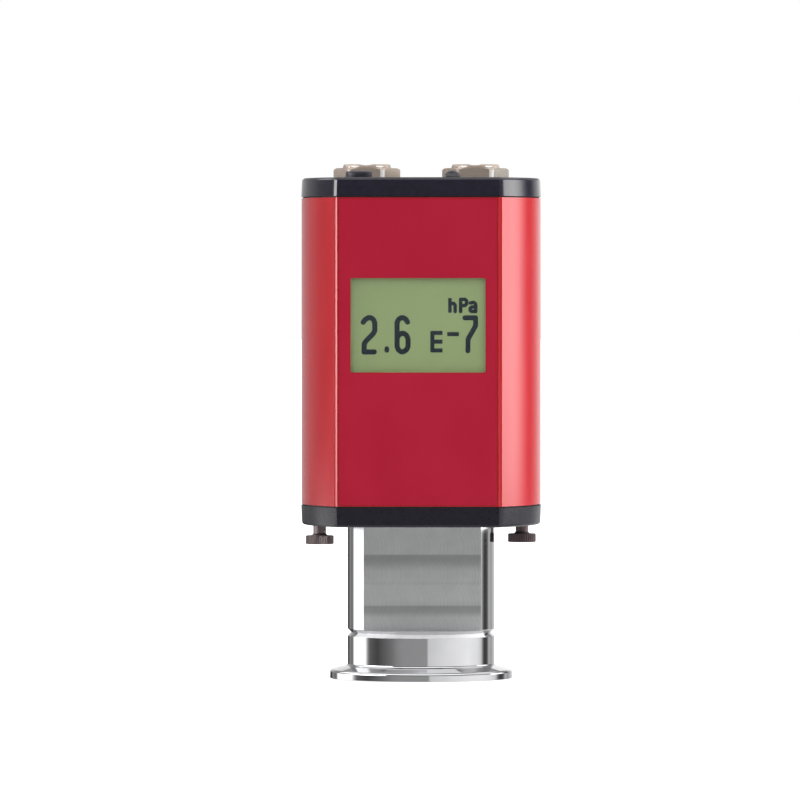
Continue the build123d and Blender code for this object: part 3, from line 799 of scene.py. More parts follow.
@dataclass
class VacuumTube:
    """Turned tube with its clamp flange, groove and two milled flats."""

    rim_radius: float = 27.5
    rim_height: float = 2.45
    taper: float = 15.0
    neck_radius: float = 22.2
    neck_top: float = 49.5
    groove_z: float = 13.85
    groove_depth: float = 1.1
    plate_radius: float = 27.0
    plate_top: float = 51.7
    flat_distance: float = 13.5
    flat_low: float = 14.75
    flat_high: float = 47.5
    flat_turn: float = 3.0
    bright_half: float = 63.0
    steps: int = 288

    def profile(self) -> list[Point]:
        """Closed section of the tube, outside first and then down the stepped bore.

        Returns:
            Radius and height of each point.
        """
        cone_top = self.rim_height + (self.rim_radius - self.neck_radius) * tan(radians(self.taper))
        groove = self.neck_radius - self.groove_depth
        return soften(
            [
                (20.6, 0.0, 0.15),
                (self.rim_radius, 0.0, 0.12),
                (self.rim_radius, self.rim_height, 0.85),
                (self.neck_radius, cone_top, 0.7),
                (self.neck_radius, self.groove_z - self.groove_depth, 0.06),
                (groove, self.groove_z, 0.08),
                (self.neck_radius, self.groove_z + self.groove_depth, 0.06),
                (self.neck_radius, self.neck_top, 0.0),
                (self.plate_radius, self.neck_top, 0.2),
                (self.plate_radius, self.plate_top, 0.2),
                (12.0, self.plate_top, 0.0),
                (12.0, 44.0, 0.0),
                (11.0, 44.0, 0.0),
                (11.0, 11.0, 0.1),
                (16.2, 11.0, 0.0),
                (16.2, 10.0, 0.0),
                (19.5, 10.0, 0.2),
                (19.5, 3.0, 0.1),
                (20.6, 3.0, 0.1),
            ]
        )

    def build(self, finishes: Wardrobe) -> None:
        """Model the tube, mill its flats and dress it."""
        tube = turned("vacuum_tube", self.profile(), self.steps)
        reach = 2 * self.neck_radius
        cutters = []
        for turn in (self.flat_turn, self.flat_turn + 180):
            low = (-reach, -reach, self.flat_low)
            high = (reach, -self.flat_distance, self.flat_high)
            cutter = block("flat_cutter", low, high)
            cutter.data.transform(Matrix.Rotation(radians(turn), 4, "Z"))
            cutters.append(cutter)
        combine(tube, cutters)
        polish(tube, 20.0)
        deliver(
            tube,
            Slot.STEEL,
            [finishes.get(name) for name in ("stainless_steel", "milled_steel", "groove_painted_highlight", "ledge_painted_light")],
            "sensor_body",
        )
        self.mark_faces(tube)

    def mark_faces(self, tube: bpy.types.Object) -> None:
        """Give the flats their own finish, and paint a highlight on the groove's middle and light on its ledge, near
        the front and back.

        Args:
            tube: The tube, already dressed.
        """
        across = Vector((sin(radians(self.flat_turn)), -cos(radians(self.flat_turn)), 0.0))
        for face in tube.data.polygons:
            distance = abs(face.center.dot(across)) / MM
            height = face.center.z / MM - self.groove_z
            aside = atan2(abs(face.center.x), abs(face.center.y)) * 180 / pi
            if abs(distance - self.flat_distance) < 0.02 and abs(face.normal.dot(across)) > 0.99:
                face.material_index = 1
            # Painted highlight and painted light on the groove's flanks, only near the front and back.
            elif abs(height) < self.groove_depth and abs(face.normal.z) > 0.3 and aside < self.bright_half:
                face.material_index = 2 if height < 0 else 3


@dataclass
class Outline:
    """Plan of the housing and its caps: flat front and back, crowned sides."""

    half_width: float = 36.1
    half_depth: float = 36.0
    half_face: float = 25.1
    bead_width: float = 0.9
    bead_depth: float = 0.8
    steps: int = 40

    def side(self, grow: float = 0.0) -> list[Point]:
        """Points of the right side from front to back, moved out by grow."""
        run = self.half_depth - self.bead_depth
        crown = self.half_width - self.half_face
        radius = (run**2 + crown**2) / (2 * crown)
        middle = self.half_width - radius
        turn = acos((self.half_face - middle) / radius) * 180 / pi
        return arc(middle, 0.0, radius + grow, -turn, turn, self.steps)

    def bevelled(self, grow: float = 0.0) -> list[Point]:
        """Whole outline with a plain bevel at each corner.

        Args:
            grow: Distance that the outline is moved out.

        Returns:
            The outline's points, anticlockwise.
        """
        right = self.side(grow)
        bevel_x = self.half_face - self.bead_width + 0.4 * grow
        front = self.half_depth + grow
        half = [(-bevel_x, -front), (bevel_x, -front)] + right
        return half + [(-x, -y) for x, y in half]

    def beaded(self, recess: float, half_label: float) -> list[Point]:
        """Whole outline with a bead beside each sunk label.

        Args:
            recess: Depth of the label's recess.
            half_label: Half width of the recess.

        Returns:
            The outline's points, anticlockwise.
        """
        front = self.half_depth
        floor = front - recess
        bead = soften(
            [
                (half_label, -floor, 0.0),
                (half_label, -front, 0.05),
                (half_label + 0.2, -front, 0.12),
                (half_label + 0.7, -floor + 0.05, 0.06),
                (self.half_face - 0.12, -floor + 0.09, 0.06),
                (self.half_face, -front + self.bead_depth, 0.0),
            ],
            3,
        )
        left = [(-x, y) for x, y in reversed(bead)]
        half = left + bead + self.side()[1:]
        return half[1:] + [(-x, -y) for x, y in half[1:]]


@dataclass
class Housing:
    """Extruded crimson housing with a sunk label on its front and back."""

    plan: Outline = field(default_factory=Outline)
    low: float = 52.7
    high: float = 144.8
    wall: float = 2.5
    recess: float = 0.4
    half_label: float = 23.9
    opening: tuple[float, float] = (20.7, 14.65)
    display_z: float = 106.7

    def build(self, finishes: Wardrobe) -> None:
        """Model the hollow housing, open its window and dress it."""
        outline = self.plan.beaded(self.recess, self.half_label)
        shell = prism("housing", outline, self.low, self.high).settle()
        core = Outline(
            self.plan.half_width - self.wall,
            self.plan.half_depth - self.wall,
            self.plan.half_face - self.wall + 1.2,
        )
        inside = prism("housing_core", core.bevelled(), self.low - 1, self.high + 1).settle()
        half_x, half_z = self.opening
        front = self.plan.half_depth
        window = block(
            "window_cutter",
            (-half_x, -front - 1, self.display_z - half_z),
            (half_x, -front + self.wall + 1, self.display_z + half_z),
        )
        combine(shell, [inside, window])
        polish(shell, 22.0)
        deliver(shell, Slot.CRIMSON, [finishes.get("crimson_aluminium")], "housing_shell")


@dataclass
class Caps:
    """Moulded bottom and top caps with rounded outer edges."""

    plan: Outline = field(default_factory=Outline)
    proud: float = 0.12
    draft: float = 0.9931
    edge: float = 0.8
    rim: float = 3.0
    plate: float = 3.0
    bottom: tuple[float, float] = (46.5, 52.3)
    top: tuple[float, float] = (145.2, 150.8)
    neck_hole: float = 22.4
    thumb_places: tuple[Point, ...] = ((-30.3, -10.0), (30.3, 10.0))
    thumb_hole: float = 2.1
    socket_places: tuple[Point, ...] = ((-16.4, 0.0), (16.4, 0.0))
    socket_hole: float = 7.45
    screw_places: tuple[Point, ...] = ((-27.9, -22.0), (27.9, -22.0), (-27.9, 22.0), (27.9, 22.0))
    screw_hole: float = 1.5
    screw_sink: float = 2.9

    def shell(self, name: str, low: float, high: float, up: bool) -> bpy.types.Object:
        """Solid of one cap with its outer edge rounded, hollowed from the other side.

        Args:
            name: Name of the cap.
            low: Lower height.
            high: Upper height.
            up: Whether the outer face looks up.

        Returns:
            The cap without its holes.
        """
        foot, face = (low, high) if up else (high, low)
        piece = prism(name, self.plan.bevelled(self.proud), foot, face, self.draft)
        piece.pick_edges(lambda first, last: abs(first.z - face) < 0.01 and abs(last.z - face) < 0.01)
        bpy.ops.mesh.bevel(offset=self.edge * MM, segments=6, profile=0.5, affect="EDGES")
        cap = piece.settle()
        inner = Outline(
            self.plan.half_width - self.rim,
            self.plan.half_depth - self.rim,
            self.plan.half_face - self.rim + 1.5,
        )
        way = -1 if up else 1
        ends = sorted((foot + way, face + way * self.plate))
        combine(cap, [prism("cap_pocket", inner.bevelled(), *ends).settle()])
        return cap

    def build(self, finishes: Wardrobe) -> None:
        """Model both caps with their holes and dress them."""
        low, high = self.bottom
        bottom = self.shell("bottom_cover", low, high, up=False)
        drills = [bar("drill", self.neck_hole, low - 1, high, 0.0, 0.0, 192)]
        drills += [bar("drill", self.thumb_hole, low - 1, high, x, y) for x, y in self.thumb_places]
        combine(bottom, drills)
        low, high = self.top
        top = self.shell("top_cover", low, high, up=True)
        drills = [bar("drill", self.socket_hole, low, high + 1, x, y, 96) for x, y in self.socket_places]
        for x, y in self.screw_places:
            depth = self.screw_sink - self.screw_hole
            cone = [
                (0, low - 1),
                (self.screw_hole, low - 1),
                (self.screw_hole, high - depth),
                (self.screw_sink, high),
                (self.screw_sink, high + 1),
                (0, high + 1),
            ]
            drills.append(turned("drill", cone, 48, x, y))
        combine(top, drills)
        for cap, node, look in ((bottom, "bottom_cap", "matte_plastic"), (top, "top_cap", "black_plastic")):
            polish(cap, 26.0)
            deliver(cap, Slot.CAP, [finishes.get(look), finishes.get("matte_plastic")], node)
            for face in cap.data.polygons:
                face.material_index = int(abs(face.normal.z) > 0.9)


@dataclass
class ThumbScrews:
    """Two knurled screws under the bottom cap."""

    places: tuple[Point, ...] = ((-30.3, -10.0), (30.3, 10.0))
    knob_low: float = 40.7
    knob_high: float = 43.3
    knob_radius: float = 4.225
    knurl: float = 0.3
    ridges: int = 36
    edge: float = 0.35
    shank: float = 1.925
    flare: float = 2.6
    flare_top: float = 44.1
    tip: float = 61.5

    def knob_outline(self, x: float, y: float) -> list[Point]:
        """Plan of the knurled knob.

        Args:
            x: Knob's place.
            y: Knob's place.

        Returns:
            The outline's points.
        """
        valley = self.knob_radius - self.knurl
        outline = []
        for ridge in range(self.ridges):
            for share, radius in ((0.0, valley), (0.3, self.knob_radius), (0.6, self.knob_radius), (0.9, valley)):
                turn = 2 * pi * (ridge + share) / self.ridges
                outline.append((x + radius * cos(turn), y + radius * sin(turn)))
        return outline

    def build(self, finishes: Wardrobe) -> None:
        """Model one screw, copy it to the other place and dress both."""
        x, y = self.places[0]
        knob = prism("left_thumb_knob", self.knob_outline(x, y), self.knob_low, self.knob_high).settle()
        rounding = soften(
            [
                (0.0, self.knob_low - 0.01, 0.0),
                (1.3, self.knob_low - 0.01, 0.0),
                (1.5, self.knob_low + 0.2, 0.0),
                (2.0, self.knob_low + 0.2, 0.0),
                (2.2, self.knob_low - 0.01, 0.0),
                (self.knob_radius + 0.02, self.knob_low - 0.01, self.edge),
                (self.knob_radius + 0.02, self.knob_high + 0.01, self.edge),
                (0.0, self.knob_high + 0.01, 0.0),
            ]
        )
        combine(knob, [turned("knob_blank", rounding, 120, x, y)], "INTERSECT")
        neck = arc(self.flare, self.flare_top, self.flare - self.shank, 270, 180, 6)
        stem = [(0.0, self.knob_high - 0.5), (self.flare, self.knob_high - 0.5)]
        stem += neck + [(self.shank, self.tip), (0.0, self.tip)]
        combine(knob, [turned("stem", stem, 64, x, y)], "UNION")
        polish(knob, 24.0)
        shift = (self.places[1][0] - x, self.places[1][1] - y, 0.0)
        other = twin(knob, "right_thumb_knob", shift)
        for item, side in ((knob, "left"), (other, "right")):
            deliver(item, Slot.BLACK_STEEL, [finishes.get("black_steel")], f"{side}_thumb_screw")
        knob.visible_glossy = False


@dataclass
class Sockets:
    """Two round sockets with their clamp nuts on the top cap."""

    offset: float = 16.4
    seat: float = 150.8
    nut_half: float = 8.95
    nut_height: float = 3.1
    nut_round: float = 0.55
    sleeve: float = 7.25
    bore: float = 5.5
    sleeve_low: float = 141.05
    sleeve_top: float = 155.05
    lip: float = 0.75
    nut_shoulder: float = 1.5
    nut_edge: float = 0.85
    scoop_radius: float = 6.2
    scoop_depth: float = 0.33
    facet_turns: Point = (-29.0, 35.0)
    facet_lean: float = 24.0
    facet_z: float = 154.35

    def build(self, finishes: Wardrobe) -> None:
        """Model the left sleeve and nut, copy them to the right and dress all four."""
        x = -self.offset
        top = self.sleeve_top
        sleeve = turned(
            "left_sleeve",
            soften(
                [
                    (self.bore, self.sleeve_low, 0.1),
                    (self.sleeve, self.sleeve_low, 0.2),
                    (self.sleeve, self.seat - 4.7, 0.0),
                    (self.sleeve + 1.75, self.seat - 4.7, 0.1),
                    (self.sleeve + 1.75, self.seat - 3.0, 0.1),
                    (self.sleeve, self.seat - 3.0, 0.0),
                    (self.sleeve, top - 0.62, 0.06),
                    (self.sleeve - 0.18, top - 0.5, 0.06),
                    (self.sleeve - 0.18, top, 0.4),
                    (self.bore + self.lip, top, 0.35),
                    (self.bore + 0.05, top - self.lip, 0.2),
                    (self.bore, top - 1.6, 0.1),
                ]
            ),
            128,
            x,
            0.0,
        )
        scoop = self.round_across("scoop_cutter", x, top + self.scoop_radius - self.scoop_depth)
        combine(sleeve, [scoop] + [self.facet_cutter(x, turn) for turn in self.facet_turns])
        corner = self.nut_half / cos(radians(30))
        hexagon = [(x + px, py) for px, py in arc(0.0, 0.0, corner, 0, 300, 5)]
        piece = prism("left_nut", hexagon, self.seat, self.seat + self.nut_height)
        piece.pick_edges(lambda first, last: abs(first.z - last.z) > 1.0)
        bpy.ops.mesh.bevel(offset=self.nut_edge * MM, segments=5, affect="EDGES")
        nut = piece.settle()
        crown = soften(
            [
                (self.sleeve + 0.05, self.seat - 0.01, 0.0),
                (corner + 0.02, self.seat - 0.01, 0.0),
                (corner + 0.02, self.seat + self.nut_height + 0.01, self.nut_shoulder),
                (self.sleeve + 0.35, self.seat + self.nut_height + 0.01, 0.0),
                (self.sleeve + 0.05, self.seat + self.nut_height - 0.3, 0.0),
            ]
        )
        combine(nut, [turned("nut_crown", crown, 144, x, 0.0)], "INTERSECT")
        ease(nut, 0.12, 3, 50.0)
        pieces = [(sleeve, "sleeve", "socket_shell"), (nut, "nut", "socket_nut")]
        for item, kind, node in pieces:
            polish(item, 26.0)
            other = twin(item, f"right_{kind}", (2 * self.offset, 0.0, 0.0))
            for shown, side in ((item, "left"), (other, "right")):
                # Nickel, then its painted highlight and its painted shade, in slot order.
                materials = [finishes.get(look) for look in ("nickel", "nickel_painted_highlight", "nickel_matte_painted_shade")]
                deliver(shown, Slot.NICKEL, materials, f"{side}_{node}")
                self.vary(shown)

    def round_across(self, name: str, x: float, z: float) -> bpy.types.Object:
        """Level round bar that runs from front to back over a sleeve.

        Args:
            name: Name of the bar.
            x: Place of its axis.
            z: Height of its axis.

        Returns:
            The bar.
        """
        piece = Workpiece(name)
        piece.clear()
        bpy.ops.mesh.primitive_cylinder_add(
            vertices=96,
            radius=self.scoop_radius * MM,
            depth=4 * self.sleeve * MM,
            location=(x * MM, 0.0, z * MM),
            rotation=(pi / 2, 0.0, 0.0),
        )
        return piece.settle()

    def facet_cutter(self, x: float, turn: float) -> bpy.types.Object:
        """Leaning block that cuts a small facet into the rim of a sleeve.

        Args:
            x: Place of the sleeve's axis.
            turn: Way from the front to the facet, to the right, in degrees.

        Returns:
            The cutter.
        """
        cutter = block("facet_cutter", (-3.0, -3.0, -0.6), (3.0, 0.0, 0.3))
        lean = Matrix.Rotation(radians(-self.facet_lean), 4, "X")
        out = Matrix.Translation(Vector((0.0, 0.13 - self.sleeve, self.facet_z)) * MM)
        aside = Matrix.Rotation(radians(turn), 4, "Z")
        cutter.data.transform(Matrix.Translation(Vector((x * MM, 0.0, 0.0))) @ aside @ out @ lean)
        return cutter

    def vary(self, item: bpy.types.Object) -> None:
        """Paint highlights on the facets and the right front edge of a piece, and painted shade on the far right
        face.

        Args:
            item: Nut or sleeve, already dressed.
        """
        for face in item.data.polygons:
            turn = atan2(face.normal.y, face.normal.x) * 180 / pi
            if "nut" in item.name:
                if abs(face.normal.z) > 0.3:
                    continue
                # Painted highlight on the right front edge of each nut.
                if -85.0 < turn < -35.0:
                    face.material_index = 1
                # Painted shade on the right nut's far right face.
                elif abs(turn + 30.0) < 3.0 and face.center.x > 0:
                    face.material_index = 2
            elif abs(face.normal.z - sin(radians(self.facet_lean))) < 0.02 and face.center.z / MM > self.seat:
                face.material_index = 1


@dataclass
class TopFittings:
    """Plug over the address switch and the domed lamp lens."""

    seat: float = 150.8
    plug_place: Point = (-18.0, -24.0)
    plug_radius: float = 3.95
    plug_rise: float = 1.9
    stem_radius: float = 3.3
    stem_drop: float = 3.8
    slot_half: tuple[float, float, float] = (2.75, 0.6, 0.6)
    lens_place: Point = (9.9, -24.0)
    lens_radius: float = 2.5
    lens_rise: float = 2.3
    guide_radius: float = 1.5
    guide_low: float = 141.05

    def build(self, finishes: Wardrobe) -> None:
        """Model and dress the plug and the lens."""
        x, y = self.plug_place
        top = self.seat + self.plug_rise
        profile = soften(
            [
                (0.0, self.seat - self.stem_drop, 0.0),
                (self.stem_radius, self.seat - self.stem_drop, 0.2),
                (self.stem_radius, self.seat, 0.0),
                (self.plug_radius, self.seat, 0.1),
                (self.plug_radius, top, 0.5),
                (0.0, top, 0.0),
            ]
        )
        plug = turned("switch_cover", profile, 96, x, y)
        half_x, half_y, deep = self.slot_half
        groove = block("slot_cutter", (x - half_x, y - half_y, top - deep), (x + half_x, y + half_y, top + 1))
        combine(plug, [groove])
        polish(plug)
        deliver(plug, Slot.PLUG, [finishes.get("plug_plastic")], "switch_plug")
        x, y = self.lens_place
        radius = (self.lens_radius**2 + self.lens_rise**2) / (2 * self.lens_rise)
        middle = self.seat + self.lens_rise - radius
        start = -acos(min(1.0, self.lens_radius / radius)) if middle > self.seat else acos(self.lens_radius / radius)
        dome = arc(0.0, middle, radius, start * 180 / pi, 90, 14)
        profile = [(0.0, self.guide_low), (self.guide_radius, self.guide_low), (self.guide_radius, self.seat)]
        lens = turned("lamp_lens", profile + dome, 72, x, y)
        polish(lens)
        deliver(lens, Slot.LENS, [finishes.get("lens_plastic")], "status_lens")


@dataclass(frozen=True)
class Stroke:
    """One line of a character, as points across and up from the display's middle."""

    points: tuple[Point, ...]
    width: float
    ends: Ends = Ends.ROUND


@dataclass
class Reading:
    """Characters that the display shows: a pressure and its unit."""

    display_z: float = 106.7
    cell_front: float = -33.4
    thickness: float = 0.05
    wide: float = 1.54
    square: float = 1.22
    narrow: float = 1.05

    def characters(self) -> dict[str, tuple[Stroke, ...]]:
        """Strokes of each character.

        Returns:
            The strokes by character name.
        """
        two = (
            (-16.4, 0.89), (-15.8, 1.7), (-14.9, 2.24), (-14.1, 2.24), (-13.35, 1.7), (-12.95, 0.8),
            (-12.95, -1.6), (-13.4, -2.5), (-15.6, -4.7), (-16.1, -5.6), (-16.14, -7.96), (-13.1, -7.93),
        )
        six = (
            (-3.2, 0.97), (-3.7, 1.8), (-4.5, 2.26), (-5.1, 2.24), (-5.85, 1.75), (-6.31, 0.8),
            (-6.31, -6.3), (-5.9, -7.3), (-5.1, -7.9), (-4.4, -7.9), (-3.5, -7.3), (-3.03, -6.3),
            (-3.03, -4.0), (-3.5, -2.95), (-4.3, -2.4), (-5.0, -2.4), (-5.8, -2.9), (-6.31, -3.9),
        )
        seven = ((13.89, 2.23), (17.08, 2.23), (17.08, -0.19), (14.85, -4.1), (14.79, -7.58))
        arch = ((9.45, 6.1), (9.9, 6.5), (10.6, 6.5), (11.0, 6.0), (11.0, 4.1))
        bowl = ((12.64, 4.1), (12.64, 7.74), (13.9, 7.74), (14.4, 7.3), (14.4, 6.35), (13.9, 5.89), (12.64, 5.89))
        hook = ((15.5, 6.65), (16.5, 6.82), (17.0, 6.5), (17.14, 6.0), (17.14, 4.1))
        loop = ((17.14, 5.53), (16.0, 5.45), (15.5, 5.1), (15.45, 4.5), (15.85, 4.12), (17.14, 4.12))
        bars = (
            ((4.21, -1.72), (4.21, -8.04)),
            ((4.21, -2.27), (7.24, -2.27)),
            ((4.21, -4.88), (7.24, -4.88)),
            ((4.21, -7.49), (7.24, -7.49)),
        )
        return {
            "digit_two": (Stroke(two, self.wide),),
            "decimal_point": (Stroke(((-9.37, -6.95), (-9.37, -7.5)), 1.36),),
            "digit_six": (Stroke(six, self.wide),),
            "exponent_mark": tuple(Stroke(run, self.square, Ends.SQUARE) for run in bars),
            "minus_sign": (Stroke(((8.64, -2.63), (12.12, -2.63)), self.square, Ends.SQUARE),),
            "digit_seven": (Stroke(seven, 1.48),),
            "unit_h": (
                Stroke(((9.45, 8.1), (9.45, 3.75)), self.narrow, Ends.SQUARE),
                Stroke(arch, self.narrow),
            ),
            "unit_p": (Stroke(bowl, self.narrow),),
            "unit_a": (Stroke(hook, self.narrow), Stroke(loop, self.narrow)),
        }

    def leg(self, start: Point, stop: Point, stroke: Stroke) -> bpy.types.Object:
        """One straight leg of a stroke as a thin bar with round or square ends.

        Args:
            start: First end.
            stop: Other end.
            stroke: The stroke that it belongs to.

        Returns:
            The leg's mesh object.
        """
        piece = Workpiece("leg")
        piece.clear()
        middle = (self.cell_front - self.thickness / 2) * MM
        half = stroke.width / 2
        if stroke.ends is Ends.SQUARE:
            across, up = abs(stop[0] - start[0]), abs(stop[1] - start[1])
            place = ((start[0] + stop[0]) / 2 * MM, middle, ((start[1] + stop[1]) / 2 + self.display_z) * MM)
            size = (max(across, 2 * half), self.thickness, max(up, 2 * half))
            bpy.ops.mesh.primitive_cube_add(size=1.0, location=place, scale=tuple(s * MM for s in size))
            return piece.settle()
        for end in (start, stop):
            bpy.ops.mesh.primitive_cylinder_add(
                vertices=24,
                radius=half * MM,
                depth=self.thickness * MM,
                location=(end[0] * MM, middle, (end[1] + self.display_z) * MM),
                rotation=(pi / 2, 0.0, 0.0),
            )
        bpy.ops.mesh.select_all(action="SELECT")
        bpy.ops.mesh.convex_hull()
        return piece.settle()

    def build(self, finishes: Wardrobe) -> None:
        """Model each character from its strokes and dress it."""
        for name, strokes in self.characters().items():
            legs = [
                self.leg(start, stop, stroke)
                for stroke in strokes
                for start, stop in zip(stroke.points, stroke.points[1:])
            ]
            character = legs[0]
            character.name = name
            character.data.name = name
            for leg in legs[1:]:
                combine(character, [leg], "UNION")
                mend(character)
            deliver(character, Slot.DISPLAY, [finishes.get("display_ink")])


# Studio


@dataclass
class Viewpoint:
    """Camera at the photograph's angle."""

    distance: float = 2400.0
    azimuth: float = 1.5
    height: float = 122.6
    target_height: float = 83.9
    target_left: float = 6.4
    lens: float = 357.5

    def build(self) -> None:
        """Place the camera and make it the scene's own."""
        turn = radians(self.azimuth)
        right = Vector((cos(turn), sin(turn), 0.0))
        away = Vector((sin(turn), -cos(turn), 0.0))
        eye = (away * self.distance + Vector((0, 0, self.height))) * MM
        target = (Vector((0, 0, self.target_height)) - right * self.target_left) * MM
        data = bpy.data.cameras.new("camera")
        data.lens = self.lens
        data.sensor_width = 36.0
        data.clip_start = 0.1
        data.clip_end = 60.0
        camera = bpy.data.objects.new("camera", data)
        bpy.context.collection.objects.link(camera)
        camera.location = eye
        camera.rotation_euler = (target - eye).to_track_quat("-Z", "Y").to_euler()
        bpy.context.scene.camera = camera


@dataclass(frozen=True)
class Lamp:
    """One soft lamp: where it stands, its size and its power."""

    name: str
    place: tuple[float, float, float]
    size: float
    power: float


@dataclass
class Studio:
    """Pale floor, white surround, soft lamps and the tent that the gloss reflects."""

    lamps: tuple[Lamp, ...] = (
        Lamp("key_right", (1130.0, 300.0, 420.0), 800.0, 19.0),
        Lamp("fill_left", (-1150.0, -300.0, 420.0), 800.0, 5.5),
        Lamp("fill_front", (150.0, -1500.0, 900.0), 900.0, 7.8),
        Lamp("top_light", (0.0, 200.0, 1300.0), 900.0, 6.0),
    )
    aim: float = 90.0
    floor_size: float = 24.0
    floor_gap: float = 0.05
    floor_glow: Point = (0.42, 1.0)
    floor_reach: Point = (0.25, 1.6)
    fill: float = 0.5
    tent_radius: float = 800.0
    low_band: Point = (-320.0, 20.0)
    high_band: Point = (20.0, 170.0)
    cap_band: Point = (170.0, 238.0)
    upper_band: Point = (238.0, 460.0)
    top_band: Point = (460.0, 530.0)
    crown_band: Point = (530.0, 1700.0)
    low_stops: tuple[Stop, ...] = (
        (-180, 0.3), (-168, 0.05), (-154, 0.07), (-147, 0.34), (-136, 0.2), (-131, 0.5), (-128.5, 2.0),
        (-97, 2.0), (-94, 1.2), (-90, 0.42), (-86, 0.17), (-78, 0.12), (-70, 0.09), (-52, 0.2),
        (-43, 0.27), (-35, 0.37), (-27, 0.41), (10.5, 0.42), (12.5, 0.9), (44, 1.15), (81, 1.33),
        (99, 1.2), (105, 1.05), (109, 0.9), (114, 0.25), (118, 0.07), (124, 0.08), (128, 0.16),
        (134, 0.64), (143.5, 0.46), (155, 0.7), (180, 0.9),
    )
    high_stops: tuple[Stop, ...] = (
        (-180, 1.2), (-165, 0.56), (-157, 0.5), (-151, 0.45), (-147, 0.4), (-140, 0.37), (-134, 0.34),
        (-128, 0.24), (-118, 0.19), (-108, 0.22), (-100, 0.3), (-96, 8.0), (-46, 8.0), (-42, 0.5),
        (-38, 0.1), (75, 0.1), (98, 0.2), (103, 4.3), (117, 4.3), (122, 3.3), (127, 1.8), (131, 0.6),
        (136, 0.08), (141, 0.05), (145, 0.22), (150, 0.48), (156, 0.7), (165, 1.0), (180, 1.1),
    )
    cap_stops: tuple[Stop, ...] = (
        (-180, 1.2), (-165, 0.56), (-157, 0.5), (-151, 0.45), (-147, 0.4), (-140, 0.37), (-134, 0.34),
        (-128, 0.24), (-118, 0.19), (-108, 0.22), (-100, 0.3), (-96, 8.0), (-75, 8.0), (-70, 0.5),
        (-64, 0.1), (75, 0.1), (98, 0.2), (103, 4.3), (117, 4.3), (122, 3.3), (127, 1.8), (131, 0.6),
        (136, 0.08), (141, 0.05), (145, 0.22), (150, 0.48), (156, 0.7), (165, 1.0), (180, 1.1),
    )
    upper_stops: tuple[Stop, ...] = (
        (-180, 0.36), (-135, 0.36), (-128, 2.2), (-100, 2.2), (-92, 0.7), (-70, 0.5), (-60, 0.1), (60, 0.1),
        (80, 0.9), (100, 1.0), (112, 0.6), (130, 0.36), (180, 0.36),
    )
    top_stops: tuple[Stop, ...] = (
        (-180, 0.5), (-135, 0.6), (-128, 2.4), (-98, 2.4), (-90, 0.8), (-70, 0.55), (-45, 0.75), (10.5, 0.9),
        (12.5, 1.5), (70, 1.6), (95, 1.3), (105, 0.8), (130, 0.5), (180, 0.5),
    )
    crown_stops: tuple[Stop, ...] = (
        (-180, 1.1), (-100, 1.1), (-85, 2.0), (60, 2.0), (75, 1.2), (180, 1.1),
    )
    peak: float = 8.0

    def build(self) -> None:
        """Set up the surround, the floor, the lamps and the tent."""
        self.surround()
        self.floor()
        for lamp in self.lamps:
            self.light(lamp)
        self.tent("low_tent", self.low_band, self.low_stops)
        self.tent("high_tent", self.high_band, self.high_stops)
        self.tent("cap_tent", self.cap_band, self.cap_stops)
        self.tent("upper_tent", self.upper_band, self.upper_stops)
        self.tent("top_tent", self.top_band, self.top_stops)
        self.tent("crown_tent", self.crown_band, self.crown_stops)
        bpy.context.scene.view_settings.view_transform = "Standard"

    def surround(self) -> None:
        """White background for what the camera sees and the gloss mirrors, softer as a lamp."""
        world = bpy.data.worlds.new("surround")
        world.use_nodes = True
        tree = world.node_tree
        tree.nodes.clear()
        path = tree.nodes.new("ShaderNodeLightPath")
        seen = path.outputs["Is Camera Ray"]
        for name in ("Is Glossy Ray", "Is Transmission Ray"):
            most = tree.nodes.new("ShaderNodeMath")
            most.operation = "MAXIMUM"
            tree.links.new(seen, most.inputs[0])
            tree.links.new(path.outputs[name], most.inputs[1])
            seen = most.outputs["Value"]
        lamp = tree.nodes.new("ShaderNodeBackground")
        lamp.inputs["Strength"].default_value = self.fill
        white = tree.nodes.new("ShaderNodeBackground")
        for node in (lamp, white):
            node.inputs["Color"].default_value = (1.0, 1.0, 1.0, 1.0)
        white.inputs["Strength"].default_value = 1.0
        mix = tree.nodes.new("ShaderNodeMixShader")
        tree.links.new(seen, mix.inputs["Fac"])
        tree.links.new(lamp.outputs["Background"], mix.inputs[1])
        tree.links.new(white.outputs["Background"], mix.inputs[2])
        out = tree.nodes.new("ShaderNodeOutputWorld")
        tree.links.new(mix.outputs["Shader"], out.inputs["Surface"])
        bpy.context.scene.world = world

    def floor(self) -> None:
        """Pale floor that keeps a soft shadow and meets the white surround."""
        deselect()
        bpy.ops.mesh.primitive_plane_add(size=self.floor_size, location=(0, 0, -self.floor_gap * MM))
        floor = bpy.context.active_object
        floor.name = "floor"
        graph = Graph("pale_floor")
        cloud = graph.noise(120.0)
        graph.drive("Base Color", graph.blend(cloud, (0.8, 0.8, 0.8, 1.0), (0.84, 0.84, 0.84, 1.0)))
        graph.fix(Roughness=0.9)
        length = graph.add("ShaderNodeVectorMath")
        length.operation = "LENGTH"
        graph.join(graph.place, length.inputs[0])
        glow = graph.spread(length.outputs["Value"], *self.floor_glow, *self.floor_reach)
        path = graph.add("ShaderNodeLightPath")
        graph.drive("Emission Strength", graph.maths("MULTIPLY", glow, path.outputs["Is Camera Ray"]))
        graph.shader.inputs["Emission Color"].default_value = (1.0, 1.0, 1.0, 1.0)
        floor.data.materials.append(graph.material)
        floor.visible_glossy = False

